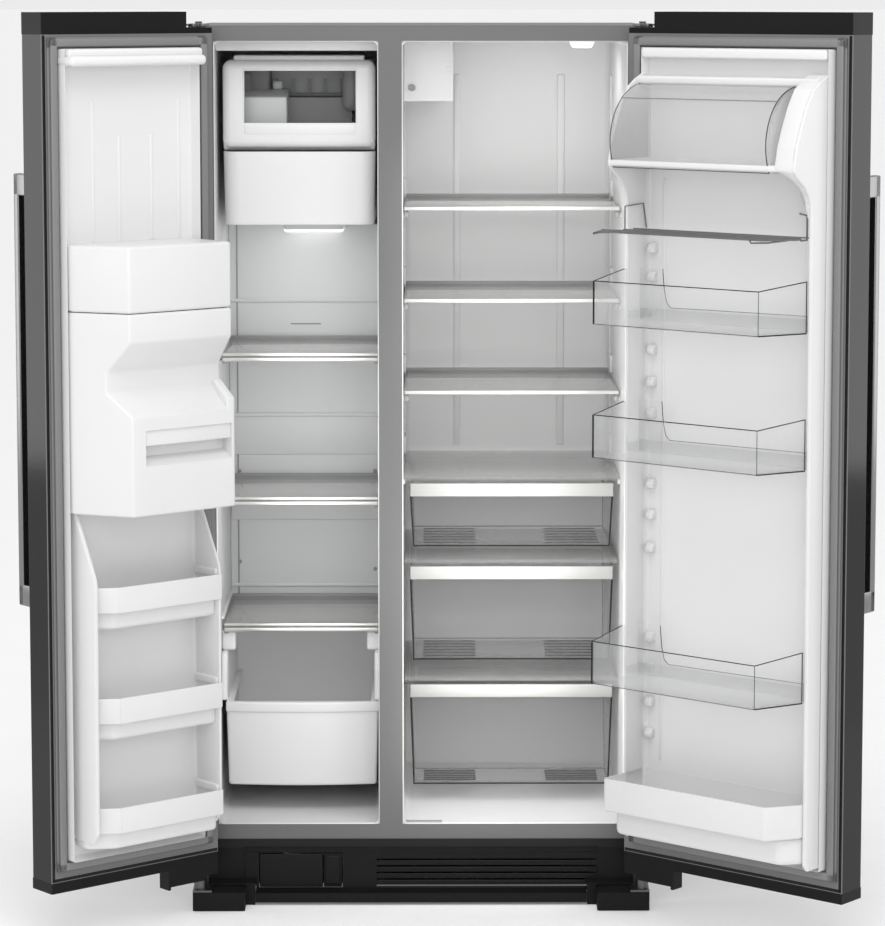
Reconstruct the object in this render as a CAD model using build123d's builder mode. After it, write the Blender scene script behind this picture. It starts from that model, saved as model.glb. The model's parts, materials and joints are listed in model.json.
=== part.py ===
from build123d import *
import os
from math import cos, radians, sin

# Side by side refrigerator, in millimetres. X runs right, Y into the cabinet, Z up.
# The origin is on the floor, under the middle of the cabinet's front edge.

# Driving dimensions
cabinet_width = 908.0
cabinet_height = 1749.5
cabinet_depth = 715.0
base_height = 127.4
door_split_x = -60.3
door_gap = 4.0
door_outer_y = -79.4
door_inner_y = -13.0
hinge_inset = 14.05
hinge_setback = 25.4
freezer_open_angle = 140.35
fridge_open_angle = 139.83
sheet = 0.8
foam_skin = 0.8
liner_wall = 2.5
pin_radius = 6.0
running_clearance = 0.05

# Derived places
half_width = cabinet_width / 2
inner_half = half_width - sheet
panel_back = cabinet_depth - sheet - 0.1
hinge_x = half_width - hinge_inset
hinge_y = door_outer_y + hinge_setback
freezer_x = (-405.5, -83.0)
fridge_x = (-37.0, 405.5)
cavity_z = (157.3, 1720.0)
cavity_back = 635.0
hump_y = 545.0
hump_z = 330.0
door_z = (122.0, 1736.0)
cap_top = 1777.4
cap_bottom = 101.0
hinge_corner_z = 77.0
freezer_door_width = half_width + door_split_x - door_gap / 2
fridge_door_width = half_width - door_split_x - door_gap / 2
freezer_back = 480.0
machine_y = (575.0, 711.0)
pan_floor = (34.0, 36.0)

pieces = {}
freezer_door_pieces = {}
fridge_door_pieces = {}


def left(u0, u1):
    """The closed freezer door's x limits, from distances off its hinge side."""
    return (-half_width + u0, -half_width + u1)


def right(u0, u1):
    """The closed fridge door's x limits, from distances off its hinge side."""
    return (half_width - u1, half_width - u0)


def grow(limits, amount):
    """A pair of limits, each moved outwards by an amount."""
    return (limits[0] - amount, limits[1] + amount)


def mirrored(limits, side):
    """A pair of x limits, carried to the left when side is -1."""
    return tuple(sorted((side * limits[0], side * limits[1])))


def block(x, y, z, mode=Mode.ADD):
    """Add or cut a box between its x, y and z limits."""
    with Locations((sum(x) / 2, sum(y) / 2, sum(z) / 2)):
        Box(x[1] - x[0], y[1] - y[0], z[1] - z[0], mode=mode)


def rod(radius, start, end, mode=Mode.ADD):
    """Add or cut a round bar between two points on a line parallel to X, Y or Z."""
    start, end = Vector(*start), Vector(*end)
    with BuildSketch(Plane(origin=start, z_dir=(end - start).normalized())) as section:
        Circle(radius)
    extrude(section.sketch, amount=(end - start).length, mode=mode)


def ring(x, z, y, width):
    """Add a rectangular frame whose outer edge is at the x and z limits."""
    block(x, y, z)
    block(grow(x, -width), grow(y, 1), grow(z, -width), mode=Mode.SUBTRACT)


def tub(x, y, z, wall, taper=0.0, corner=12.0):
    """Add an open-topped tub whose mouth fills the x and y limits."""
    mouth = Plane(origin=(sum(x) / 2, sum(y) / 2, z[1]), x_dir=(1, 0, 0), z_dir=(0, 0, -1))
    with BuildSketch(mouth) as outside:
        RectangleRounded(x[1] - x[0], y[1] - y[0], corner)
    extrude(outside.sketch, amount=z[1] - z[0], taper=taper)
    with BuildSketch(mouth) as inside:
        RectangleRounded(x[1] - x[0] - 2 * wall, y[1] - y[0] - 2 * wall, corner - wall)
    extrude(inside.sketch, amount=z[1] - z[0] - wall, taper=taper, mode=Mode.SUBTRACT)


def finned_coil(x, y, z, fins, rows):
    """Add a heat exchanger: thin fins across X, threaded by tubes."""
    with Locations(*[(x[0] + (x[1] - x[0]) * (i + 0.5) / fins, sum(y) / 2, sum(z) / 2) for i in range(fins)]):
        Box(1.5, y[1] - y[0], z[1] - z[0])
    for row in range(rows):
        height = z[0] + (z[1] - z[0]) * (row + 0.5) / rows
        for depth in (y[0] + 25, y[1] - 25):
            rod(5, (x[0], depth, height), (x[1], depth, height))


def fan_blades(centre, axis, radius, depth):
    """Add a hub with five pitched blades round an axis through centre."""
    hub = Plane(origin=centre, z_dir=axis)
    with BuildSketch(hub) as hub_disc:
        Circle(radius * 0.28)
    extrude(hub_disc.sketch, amount=depth / 2, both=True)
    with Locations(hub):
        with PolarLocations(radius * 0.6, 5):
            Box(radius * 0.76, radius * 0.5, 2, rotation=(28, 0, 0))


# ---------------------------------------------------------------- cabinet

with BuildPart() as cabinet_panels:
    for side in (-1, 1):
        block(mirrored((inner_half, half_width), side), (0, panel_back), (36, cabinet_height))
    block((-inner_half + 0.1, inner_half - 0.1), (0, panel_back), (cabinet_height - sheet, cabinet_height))
    block((-half_width, half_width), (cabinet_depth - sheet, cabinet_depth), (305, cabinet_height))
    for bead_x in (-270, 0, 270):
        block((bead_x - 60, bead_x + 60), (cabinet_depth, cabinet_depth + 1.5), (420, 1640))
pieces["cabinet_panels"] = cabinet_panels

with BuildPart() as front_frame:
    block((-inner_half, inner_half), (0, 2), (base_height, cabinet_height - sheet))
    for window in (freezer_x, fridge_x):
        block(window, (-1, 3), cavity_z, mode=Mode.SUBTRACT)
pieces["front_frame"] = front_frame


def liner(x):
    """Add a vacuum-formed liner, open at the front, stepped over the machine bay."""
    outer_x = grow(x, liner_wall)
    outer_z = grow(cavity_z, liner_wall)
    block(outer_x, (2, cavity_back + liner_wall), outer_z)
    block(grow(outer_x, 1), (hump_y, cavity_back + 10), (outer_z[0] - 1, hump_z), mode=Mode.SUBTRACT)
    block(x, (1, hump_y - liner_wall), cavity_z, mode=Mode.SUBTRACT)
    block(x, (hump_y - liner_wall - 1, cavity_back), (hump_z + liner_wall, cavity_z[1]), mode=Mode.SUBTRACT)


with BuildPart() as freezer_liner:
    liner(freezer_x)
    for shelf_z in (1083, 790, 531):
        for wall_x in ((freezer_x[0], freezer_x[0] + 6), (freezer_x[1] - 6, freezer_x[1])):
            block(wall_x, (160, 460), (shelf_z - 7, shelf_z))
pieces["freezer_liner"] = freezer_liner

with BuildPart() as fridge_liner:
    liner(fridge_x)
    for ridge_x in (66, 291):
        block((ridge_x, ridge_x + 20), (cavity_back - 6, cavity_back), (340, cavity_z[1]))
    for shelf_z in (1376, 1189, 1002):
        for wall_x in ((fridge_x[0], fridge_x[0] + 5), (fridge_x[1] - 5, fridge_x[1])):
            block(wall_x, (200, 570), (shelf_z - 8, shelf_z))
pieces["fridge_liner"] = fridge_liner

# The foam fill is drawn as plain slabs, a hair apart, between the liners and the outer sheets.
# Each slab is a closed skin, which gives it the light weight of rigid foam.
foam_joint = 0.1
foam_bottom = base_height + 2.6
foam_rear = cabinet_depth - sheet
foam_back = cavity_back + liner_wall
foam_top = cabinet_height - sheet
foam_x = (freezer_x[0] - liner_wall, fridge_x[1] + liner_wall)
foam_z = (cavity_z[0] - liner_wall, cavity_z[1] + liner_wall)
foam_slabs = [
    ((-inner_half, foam_x[0]), (2, foam_rear), (foam_bottom, foam_top)),
    ((foam_x[1], inner_half), (2, foam_rear), (foam_bottom, foam_top)),
    (foam_x, (2, foam_back), (foam_z[1], foam_top)),
    (foam_x, (2, hump_y), (foam_bottom, foam_z[0])),
    (foam_x, (hump_y, machine_y[0]), (foam_bottom, hump_z)),
    (foam_x, (machine_y[0], foam_back), (300, hump_z)),
    (foam_x, (foam_back, foam_rear), (305, foam_top)),
    ((freezer_x[1] + liner_wall, fridge_x[0] - liner_wall), (2, hump_y), foam_z),
    ((freezer_x[1] + liner_wall, fridge_x[0] - liner_wall), (hump_y, foam_back), (hump_z, foam_z[1])),
]
with BuildPart() as insulation:
    for slab_x, slab_y, slab_z in foam_slabs:
        block(grow(slab_x, -foam_joint), grow(slab_y, -foam_joint), grow(slab_z, -foam_joint))
    for slab_x, slab_y, slab_z in foam_slabs:
        inset = -foam_joint - foam_skin
        block(grow(slab_x, inset), grow(slab_y, inset), grow(slab_z, inset), mode=Mode.SUBTRACT)
pieces["insulation"] = insulation

# ---------------------------------------------------------------- base and machine bay

roller_x = 380.0
roller_radius = 26.0
axle_radius = 4.0
axle_y = 650.0

with BuildPart() as base_pan:
    block((-inner_half, inner_half), (10, 710), pan_floor)
    for side in (-1, 1):
        block(mirrored((inner_half - 2, inner_half), side), (10, 710), (pan_floor[0], base_height))
        roller_slot = mirrored((roller_x - 22, roller_x + 22), side)
        block(roller_slot, (axle_y - 32, axle_y + 32), (30, 40), mode=Mode.SUBTRACT)
        for ear_x in (roller_x - 30, roller_x + 26):
            block(mirrored((ear_x, ear_x + 4), side), (axle_y - 18, axle_y + 18), (12, pan_floor[0]))
    axle_bore = axle_radius + running_clearance
    rod(axle_bore, (-430, axle_y, roller_radius), (430, axle_y, roller_radius), Mode.SUBTRACT)
pieces["base_pan"] = base_pan

with BuildPart() as rear_rollers:
    rod(axle_radius, (-414, axle_y, roller_radius), (414, axle_y, roller_radius))
    for side in (-1, 1):
        tyre = mirrored((roller_x - 18, roller_x + 18), side)
        rod(roller_radius, (tyre[0], axle_y, roller_radius), (tyre[1], axle_y, roller_radius))
pieces["rear_rollers"] = rear_rollers

fascia_y = -9.0
filter_door_x = (-323.4, -159.0)
filter_door_z = (31.5, 99.5)
filter_at = (-256.0, 68.0)
louvre_x = (-89.0, 353.5)
louvre_pitch = 13.4


def fascia(x, ledge_z, foot_z):
    """Add a length of the base fascia: a folded plate with a ledge and a skirt along its foot."""
    with BuildSketch(Plane.YZ.offset(x[0])) as profile:
        with BuildLine() as outline:
            Polyline(
                (-3, base_height),
                (fascia_y, 112),
                (fascia_y, ledge_z),
                (-31, ledge_z - 5),
                (-31, foot_z),
                (-28, foot_z),
                (-28, ledge_z - 7.4),
                (fascia_y + 3, ledge_z - 2.7),
                (fascia_y + 3, 112.5),
                (-0.2, base_height),
                close=True,
            )
        make_face(outline.edges())
    extrude(profile.sketch, amount=x[1] - x[0])


with BuildPart() as base_grille:
    fascia((-331, 331), 29, 5)
    for corner in ((-424, -330), (330, 424)):
        fascia(corner, 50, 41)
    fascia_cut = (fascia_y - 1, fascia_y + 4)
    block(grow(filter_door_x, 1.5), fascia_cut, grow(filter_door_z, 1.5), mode=Mode.SUBTRACT)
    for slot in range(5):
        slot_z = 29.5 + louvre_pitch * slot
        block(louvre_x, fascia_cut, (slot_z, slot_z + 6), mode=Mode.SUBTRACT)
pieces["base_grille"] = base_grille

with BuildPart() as filter_cover:
    block(filter_door_x, (-11, -8), filter_door_z)
    block((-192, -162), (-14, -10), (38, 97))
    rod(3, (filter_door_x[0] + 5, -9.5, 34.5), (filter_door_x[1] - 5, -9.5, 34.5))
    rod(24, (filter_at[0], -9, filter_at[1]), (filter_at[0], 14, filter_at[1]))
pieces["filter_cover"] = filter_cover

with BuildPart() as water_filter:
    rod(26, (filter_at[0], 18, filter_at[1]), (filter_at[0], 230, filter_at[1]))
    rod(20, (filter_at[0], 230, filter_at[1]), (filter_at[0], 255, filter_at[1]))
pieces["water_filter"] = water_filter

foot_top = 37.0
with BuildPart() as front_legs:
    for side in (-1, 1):
        block(mirrored((350, 454), side), (-76, -8), (0, foot_top))
        block(mirrored((332, 351), side), (-29, -8), (0, 40.5))
        block(mirrored((354, 398), side), (-10, 16), (6, 33.8))
    vertical = front_legs.edges().filter_by(Axis.Z).group_by(Axis.Y)[0]
    fillet(vertical, 4)
pieces["front_legs"] = front_legs

with BuildPart() as door_hinges:
    for side in (-1, 1):
        pin_x = side * hinge_x
        block(mirrored((416, 454), side), (-74, -2), (foot_top, foot_top + 4))
        block(mirrored((426, 454), side), (-6, -2), (foot_top + 4, 84))
        rod(12.5, (pin_x, hinge_y, foot_top + 4), (pin_x, hinge_y, hinge_corner_z - 0.5))
        rod(pin_radius, (pin_x, hinge_y, foot_top + 4), (pin_x, hinge_y, 118))
        block(mirrored((418, 454), side), (hinge_y, 70), (cabinet_height, cabinet_height + 4))
        rod(hinge_inset, (pin_x, hinge_y, cabinet_height), (pin_x, hinge_y, cabinet_height + 4))
        rod(pin_radius, (pin_x, hinge_y, 1738), (pin_x, hinge_y, cabinet_height))
        for bolt_y in (20, 52):
            rod(6, (side * 436, bolt_y, cabinet_height + 4), (side * 436, bolt_y, cabinet_height + 8))
pieces["door_hinges"] = door_hinges

with BuildPart() as compressor:
    with BuildSketch(Plane(origin=(200, 643, 50))):
        Ellipse(92, 56)
    extrude(amount=150)
    fillet(compressor.edges().group_by(Axis.Z)[-1], 30)
    fillet(compressor.edges().group_by(Axis.Z)[0], 16)
    with BuildSketch(Plane(origin=(200, 643, 66))):
        Ellipse(74, 40)
    extrude(amount=110, mode=Mode.SUBTRACT)
    block((110, 290), (592, 694), (44, 50.5))
    for foot_x in (120, 280):
        for foot_y in (602, 684):
            rod(9, (foot_x, foot_y, pan_floor[1]), (foot_x, foot_y, 44.5))
pieces["compressor"] = compressor

with BuildPart() as condenser:
    finned_coil((-240, -50), (586, 700), (pan_floor[1], 170), 16, 4)
pieces["condenser"] = condenser

with BuildPart() as drain_pan:
    tub((-348, -248), (584, 704), (pan_floor[1], 66), 2, corner=8)
pieces["drain_pan"] = drain_pan

condenser_fan_at = (-14.0, 643.0, 105.0)
with BuildPart() as condenser_fan:
    fan_blades(condenser_fan_at, (1, 0, 0), 50, 18)
pieces["condenser_fan"] = condenser_fan

with BuildPart() as inlet_valve:
    block((-350, -290), (640, 700), (200, 250))
    rod(16, (-320, 660, 250), (-320, 660, 285))
    rod(7, (-320, 700, 225), (-320, 708, 225))
    rod(3.175, (-320, 708, 225), (-320, 727, 225))
pieces["inlet_valve"] = inlet_valve

with BuildPart() as machine_cover:
    block((-404, 404), (712, 715), (40, 303))
    for slot in range(9):
        slot_z = 90 + 14 * slot
        for slot_x in (-240, 100):
            block((slot_x, slot_x + 160), (711, 716), (slot_z, slot_z + 6), mode=Mode.SUBTRACT)
    rod(10, (-320, 711, 225), (-320, 716, 225), Mode.SUBTRACT)
    rod(11, (345, 706, 80), (345, 720, 80))
    rod(4.5, (345, 700, 80), (345, 725, 80), Mode.SUBTRACT)
pieces["machine_cover"] = machine_cover

# ---------------------------------------------------------------- cooling behind the freezer panel

evaporator_fan_at = (-244.0, 545.0, 1180.0)
with BuildPart() as freezer_back_panel:
    block((freezer_x[0] + 0.5, freezer_x[1] - 0.5), (freezer_back, freezer_back + 3), (170, 1330))
    block((-300, -150), (freezer_back - 1, freezer_back + 4), (1296, 1308), mode=Mode.SUBTRACT)
    block((-277, -199), (freezer_back - 1, freezer_back + 4), (1105, 1108), mode=Mode.SUBTRACT)
    for slot in range(8):
        block(
            (-370 + 34 * slot, -350 + 34 * slot),
            (freezer_back - 1, freezer_back + 4),
            (180, 188),
            mode=Mode.SUBTRACT,
        )
pieces["freezer_back_panel"] = freezer_back_panel

with BuildPart() as evaporator:
    finned_coil((-385, -105), (500, 590), (420, 1020), 26, 8)
pieces["evaporator"] = evaporator

with BuildPart() as defrost_heater:
    rod(5, (-385, 520, 380), (-105, 520, 380))
    rod(5, (-385, 560, 380), (-105, 560, 380))
    for end_x in (-390, -105):
        block((end_x, end_x + 5), (512, 568), (372, 388))
pieces["defrost_heater"] = defrost_heater

with BuildPart() as evaporator_fan:
    fan_blades(evaporator_fan_at, (0, 1, 0), 58, 18)
pieces["evaporator_fan"] = evaporator_fan

with BuildPart() as motors:
    rod(26, (2, 643, 105), (60, 643, 105))
    block((20, 40), (630, 656), (pan_floor[1], 90))
    rod(24, (-244, 560, 1180), (-244, 600, 1180))
    block((-256, -232), (600, cavity_back), (1168, 1192))
    rod(24, (-238, 482, 1405), (-238, 530, 1405))
    block((-250, -226), (530, cavity_back), (1393, 1417))
pieces["motors"] = motors

# ---------------------------------------------------------------- ice maker

ice_x = (-393.0, -90.0)
ice_front = 80.0
with BuildPart() as ice_maker_shroud:
    block(ice_x, (ice_front, 470), (1503, 1700))
    block(grow(ice_x, -3), (ice_front + 3, 471), (1502, 1697), mode=Mode.SUBTRACT)
    block((-352, -130), (ice_front - 1, ice_front + 4), (1560, 1676), mode=Mode.SUBTRACT)
pieces["ice_maker_shroud"] = ice_maker_shroud

rake_y, rake_z = 300.0, 1606.0
with BuildPart() as ice_mould:
    block((-345, -140), (rake_y - 48, rake_y + 48), (1552, 1602))
    rod(40, (-341, rake_y, rake_z), (-144, rake_y, rake_z), Mode.SUBTRACT)
    block((-386, -345), (240, 380), (1530, 1650))
    for web in range(5):
        web_x = -309 + 33 * web
        block((web_x, web_x + 2), (rake_y - 40, rake_y + 40), (1552, 1571))
pieces["ice_mould"] = ice_mould

with BuildPart() as ice_ejector:
    rod(4, (-344, rake_y, rake_z), (-142, rake_y, rake_z))
    for finger in range(6):
        finger_x = -327 + 33 * finger
        block((finger_x - 3, finger_x + 3), (rake_y - 2, rake_y + 2), (rake_z, rake_z + 33))
pieces["ice_ejector"] = ice_ejector

auger_x, auger_z = -238.0, 1405.0
with BuildPart() as ice_bin:
    tub(ice_x, (ice_front, 470), (1354, 1500), 3, taper=2, corner=22)
    block((-278, -198), (92, 132), (1350, 1360), mode=Mode.SUBTRACT)
    rod(7.05, (auger_x, 440, auger_z), (auger_x, 480, auger_z), Mode.SUBTRACT)
pieces["ice_bin"] = ice_bin

with BuildPart() as auger:
    rod(7, (auger_x, 100, auger_z), (auger_x, 474, auger_z))
    for paddle in range(12):
        with Locations(Location((auger_x, 118 + 27 * paddle, auger_z), (0, 45 * paddle, 0))):
            Box(56, 3, 16)
pieces["auger"] = auger

# ---------------------------------------------------------------- shelves, basket and crispers

freezer_shelf_tops = (1089.0, 796.0, 537.0)
fridge_shelf_tops = (1382.0, 1195.0, 1008.0)
crisper_tops = (821.0, 650.0, 405.0)
crisper_bottoms = (690.0, 455.0, 195.0)
crisper_backs = (575.0, 575.0, 530.0)
freezer_shelf_front = 140.0
fridge_shelf_front = 184.0

with BuildPart() as glass_shelves:
    for top in freezer_shelf_tops:
        block((-402, -86), (freezer_shelf_front + 6, 474), (top - 5, top))
    for top in fridge_shelf_tops:
        block((-34, 402), (fridge_shelf_front + 5, 590), (top - 5, top))
pieces["glass_shelves"] = glass_shelves

with BuildPart() as shelf_trims:
    for top in freezer_shelf_tops:
        block((-402, -86), (freezer_shelf_front, freezer_shelf_front + 6), (top - 12, top + 3))
    for top in fridge_shelf_tops:
        block((-34, 402), (fridge_shelf_front, fridge_shelf_front + 5), (top - 9, top + 2))
pieces["shelf_trims"] = shelf_trims

with BuildPart() as crisper_covers:
    for top, back in zip(crisper_tops, (600, 600, 535)):
        block((-34, 402), (fridge_shelf_front + 6, back), (top + 5, top + 11))
        for side_x in ((-34, -26), (396, 402)):
            block(side_x, (fridge_shelf_front + 6, back), (top - 14, top + 6))
pieces["crisper_covers"] = crisper_covers

crisper_x = (-23.0, 392.0)
trim_height = 28.0
crispers = [BuildPart(), BuildPart(), BuildPart()]
crisper_trims = [BuildPart(), BuildPart(), BuildPart()]
crisper_names = ("upper", "middle", "lower")
for number, name in enumerate(crisper_names):
    top = crisper_tops[number]
    with crispers[number]:
        depth = (fridge_shelf_front + 4, crisper_backs[number])
        tub(crisper_x, depth, (crisper_bottoms[number], top), 2.5, 1.5)
    pieces[f"crisper_{name}"] = crispers[number]
    with crisper_trims[number]:
        block(crisper_x, (fridge_shelf_front - 4, fridge_shelf_front + 3.8), (top - trim_height, top))
    pieces[f"crisper_trim_{name}"] = crisper_trims[number]

with BuildPart() as freezer_basket:
    tub((-390, -88), (95, 466), (212, 385), 3, taper=3, corner=24)
    for side_x in ((-396, -389), (-89, -86)):
        block(side_x, (250, 466), (378, 385))
pieces["freezer_basket"] = freezer_basket

with BuildPart() as control_housing:
    block((fridge_x[0] + 0.5, 65.5), (200, 628.5), (1596, cavity_z[1] - 0.5))
    block((fridge_x[0] + 3.5, 62.5), (203, 625.5), (1599, cavity_z[1] - 3.5), mode=Mode.SUBTRACT)
    for slot in range(3):
        block((46, 60), (199, 204), (1658 + 6 * slot, 1661 + 6 * slot), mode=Mode.SUBTRACT)
pieces["control_housing"] = control_housing

with BuildPart() as light_lenses:
    block((300, 356), (230, 330), (cavity_z[1] - 12, cavity_z[1] - 0.5))
    block((-284, -148), (440, 479.5), (1310, 1340))
pieces["light_lenses"] = light_lenses

# ---------------------------------------------------------------- freezer door, drawn closed

door_y = (door_outer_y, door_inner_y)
corner_radius = 2.5
recess_u = (96.0, 296.0)
recess_z = (930.0, 1330.0)
liner_z = (164.0, 1709.5)
gasket_z = (143.0, 1730.5)


def door_shell(x):
    """Add a door's closed steel shell, with rounded outer corners."""
    block(x, door_y, door_z)
    corners = [e for e in current_part().edges().filter_by(Axis.Z) if e.center().Y < door_outer_y + 1]
    fillet(corners, corner_radius)
    block(grow(x, -sheet), (door_y[0] + sheet, door_y[1] - sheet), grow(door_z, -sheet), mode=Mode.SUBTRACT)


def current_part():
    """The part that is being built."""
    return BuildPart._get_context().part


def door_caps(x, hinge_side):
    """Add a door's top and bottom end caps, notched and bored for its hinges."""
    pin_x = hinge_side * hinge_x
    block(x, door_y, (door_z[1], cap_top))
    block(x, door_y, (cap_bottom, door_z[0]))
    notch = mirrored((half_width - 60, half_width + 1), hinge_side)
    block(notch, grow(door_y, 1), (1747, cap_top + 1), mode=Mode.SUBTRACT)
    corner = mirrored((half_width - 32, half_width), hinge_side)
    block(corner, door_y, (hinge_corner_z, cap_bottom))
    stop = mirrored((half_width - 115, half_width - 30), hinge_side)
    block(stop, (-45, door_inner_y), (68, cap_bottom))
    bore = pin_radius + running_clearance
    rod(bore, (pin_x, hinge_y, hinge_corner_z - 1), (pin_x, hinge_y, 119), Mode.SUBTRACT)
    rod(bore, (pin_x, hinge_y, 1737), (pin_x, hinge_y, 1748), Mode.SUBTRACT)
    tab = mirrored((half_width - 120, half_width - 114), hinge_side)
    block(tab, (-43, door_inner_y), (62, cap_bottom))


def bar_handle(x):
    """Add a square bar on two end blocks."""
    block(x, (-137.4, -121), (644, 1473))
    for z in ((644, 685), (1432, 1473)):
        block(x, (-137.4, door_outer_y), z)


def door_liner(flange_x, plug_x, rim):
    """Add a liner plug: a back sheet with a flange and a raised rim round it."""
    block(flange_x, (door_inner_y, -1.5), liner_z)
    block(plug_x, (door_inner_y, 20), liner_z)
    block(grow(plug_x, -rim), (-9, 21), grow(liner_z, -rim), mode=Mode.SUBTRACT)


with BuildPart() as freezer_door_shell:
    door_shell(left(0, freezer_door_width))
    block(left(recess_u[0] - sheet, recess_u[1] + sheet), door_y, grow(recess_z, sheet))
    block(left(*recess_u), grow(door_y, 1), recess_z, mode=Mode.SUBTRACT)
freezer_door_pieces["freezer_door_shell"] = freezer_door_shell

with BuildPart() as freezer_door_caps:
    door_caps(left(0, freezer_door_width), -1)
freezer_door_pieces["freezer_door_caps"] = freezer_door_caps

with BuildPart() as freezer_gasket:
    ring(left(17, freezer_door_width - 11), gasket_z, (door_inner_y, -0.5), 20)
freezer_door_pieces["freezer_gasket"] = freezer_gasket

with BuildPart() as freezer_handle:
    bar_handle(left(freezer_door_width - 32.5, freezer_door_width - 14.5))
freezer_door_pieces["freezer_handle"] = freezer_handle

freezer_bin_tops = (696.0, 483.0, 271.0)
rim_height = 49.0
with BuildPart() as freezer_door_liner:
    door_liner(left(38, 360), left(52, 360), 7)
    block(left(44, 320), (door_inner_y - 1, 21), (824, 1344), mode=Mode.SUBTRACT)
    for cheek in ((56, 60), (334, 338)):
        block(left(*cheek), (-9.5, 74), (freezer_bin_tops[2] - rim_height, 720))
    for top in freezer_bin_tops:
        block(left(56, 338), (-9.5, 76), (top - rim_height, top - rim_height + 4))
        block(left(56, 338), (72, 76), (top - rim_height, top))
freezer_door_pieces["freezer_door_liner"] = freezer_door_liner

duct_u = (166.0, 226.0)
duct_y = (0.0, 50.0)


def chute_outline(inset):
    """Add the chute cover's plan outline, its free side slanted, moved in by an inset."""
    with BuildLine() as outline:
        Polyline(
            (-half_width + 45 + inset, door_inner_y - inset),
            (-half_width + 52 + inset, -1 - inset),
            (-half_width + 52 + inset, 130 - inset),
            (-half_width + 290 - inset, 130 - inset),
            (-half_width + 319 - inset, 20 - inset),
            (-half_width + 319 - inset, door_inner_y - inset),
            close=True,
        )
    make_face(outline.edges())


with BuildPart() as ice_chute:
    with BuildSketch(Plane.XY.offset(827)):
        chute_outline(0)
    extrude(amount=1341 - 827)
    with BuildSketch(Plane.XY.offset(831)):
        chute_outline(3.5)
    extrude(amount=1337 - 831, mode=Mode.SUBTRACT)
    block(left(*duct_u), duct_y, (1211, 1341))
    block(left(*grow(duct_u, -3)), grow(duct_y, -3), (1200, 1350), mode=Mode.SUBTRACT)
freezer_door_pieces["ice_chute"] = ice_chute

with BuildPart() as dispenser_housing:
    block(left(*recess_u), (door_outer_y - 2, 70), recess_z)
    block(left(recess_u[0] + 3, recess_u[1] - 3), (door_outer_y - 3, 67), (946, 1212), mode=Mode.SUBTRACT)
    block(left(recess_u[0] + 3, recess_u[1] - 3), (door_outer_y - 3, 67), (1216, 1327), mode=Mode.SUBTRACT)
    block(
        left(duct_u[0] - 0.5, duct_u[1] + 0.5),
        (duct_y[0] - 0.5, duct_y[1] + 0.5),
        (1208, 1332),
        mode=Mode.SUBTRACT,
    )
freezer_door_pieces["dispenser_housing"] = dispenser_housing

with BuildPart() as dispenser_panel:
    block(left(recess_u[0] + 3.5, recess_u[1] - 3.5), (door_outer_y - 3, door_outer_y + 2), (1216.5, 1326.5))
freezer_door_pieces["dispenser_panel"] = dispenser_panel

with BuildPart() as drip_tray:
    tub(left(recess_u[0] + 6, recess_u[1] - 6), (door_outer_y + 1, 64), (946.5, 960), 2.5, corner=8)
freezer_door_pieces["drip_tray"] = drip_tray

paddle_y = -30.0
with BuildPart() as dispenser_paddle:
    block(left(166, 226), (paddle_y - 2, paddle_y + 2), (1090, 1196))
    rod(4, (-half_width + 160, paddle_y, 1198), (-half_width + 232, paddle_y, 1198))
freezer_door_pieces["dispenser_paddle"] = dispenser_paddle

with BuildPart() as chute_flap:
    block(left(duct_u[0] + 1, duct_u[1] - 1), (duct_y[0], duct_y[1] + 2), (1205, 1208))
    rod(2, (-half_width + 162, 53, 1206), (-half_width + 230, 53, 1206))
freezer_door_pieces["chute_flap"] = chute_flap

# ---------------------------------------------------------------- fridge door, drawn closed

with BuildPart() as fridge_door_shell:
    door_shell(right(0, fridge_door_width))
fridge_door_pieces["fridge_door_shell"] = fridge_door_shell

with BuildPart() as fridge_door_caps:
    door_caps(right(0, fridge_door_width), 1)
fridge_door_pieces["fridge_door_caps"] = fridge_door_caps

with BuildPart() as fridge_gasket:
    ring(right(17, fridge_door_width - 11), gasket_z, (door_inner_y, -0.5), 20)
fridge_door_pieces["fridge_gasket"] = fridge_gasket

with BuildPart() as fridge_handle:
    bar_handle(right(fridge_door_width - 32.5, fridge_door_width - 14.5))
fridge_door_pieces["fridge_handle"] = fridge_handle

with BuildPart() as fridge_door_liner:
    door_liner(right(38, 480), right(50, 480), 3.5)
    for cheek in ((50, 53.5), (470, 474)):
        block(right(*cheek), (-9.5, 40), (170, 1465))
    with BuildSketch(Plane.XY.offset(235)):
        with BuildLine():
            Polyline(
                (half_width - 50, -9.5),
                (half_width - 50, 125),
                (half_width - 430, 125),
                (half_width - 470, 70),
                (half_width - 470, -9.5),
                close=True,
            )
        make_face()
    extrude(amount=65)
    block(right(54, 428), (-9, 121), (239, 301), mode=Mode.SUBTRACT)
fridge_door_pieces["fridge_door_liner"] = fridge_door_liner

dairy_z = (1470.0, 1640.0)
with BuildPart() as dairy_case:
    block(right(54, 469.5), (-8.5, 118), (dairy_z[0], dairy_z[0] + 4))
    block(right(54, 469.5), (-8.5, -5), dairy_z)
    for end in ((54, 59), (440, 469.5)):
        with BuildSketch(Plane(origin=(right(*end)[0], 0, 0), x_dir=(0, 1, 0), z_dir=(1, 0, 0))):
            with BuildLine():
                Line((-8.5, dairy_z[0]), (118, dairy_z[0]))
                Line((118, dairy_z[0]), (118, 1530))
                RadiusArc((118, 1530), (18, 1636), -103)
                Line((18, 1636), (-8.5, 1636))
                Line((-8.5, 1636), (-8.5, dairy_z[0]))
            make_face()
        extrude(amount=end[1] - end[0])
fridge_door_pieces["dairy_case"] = dairy_case

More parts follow.
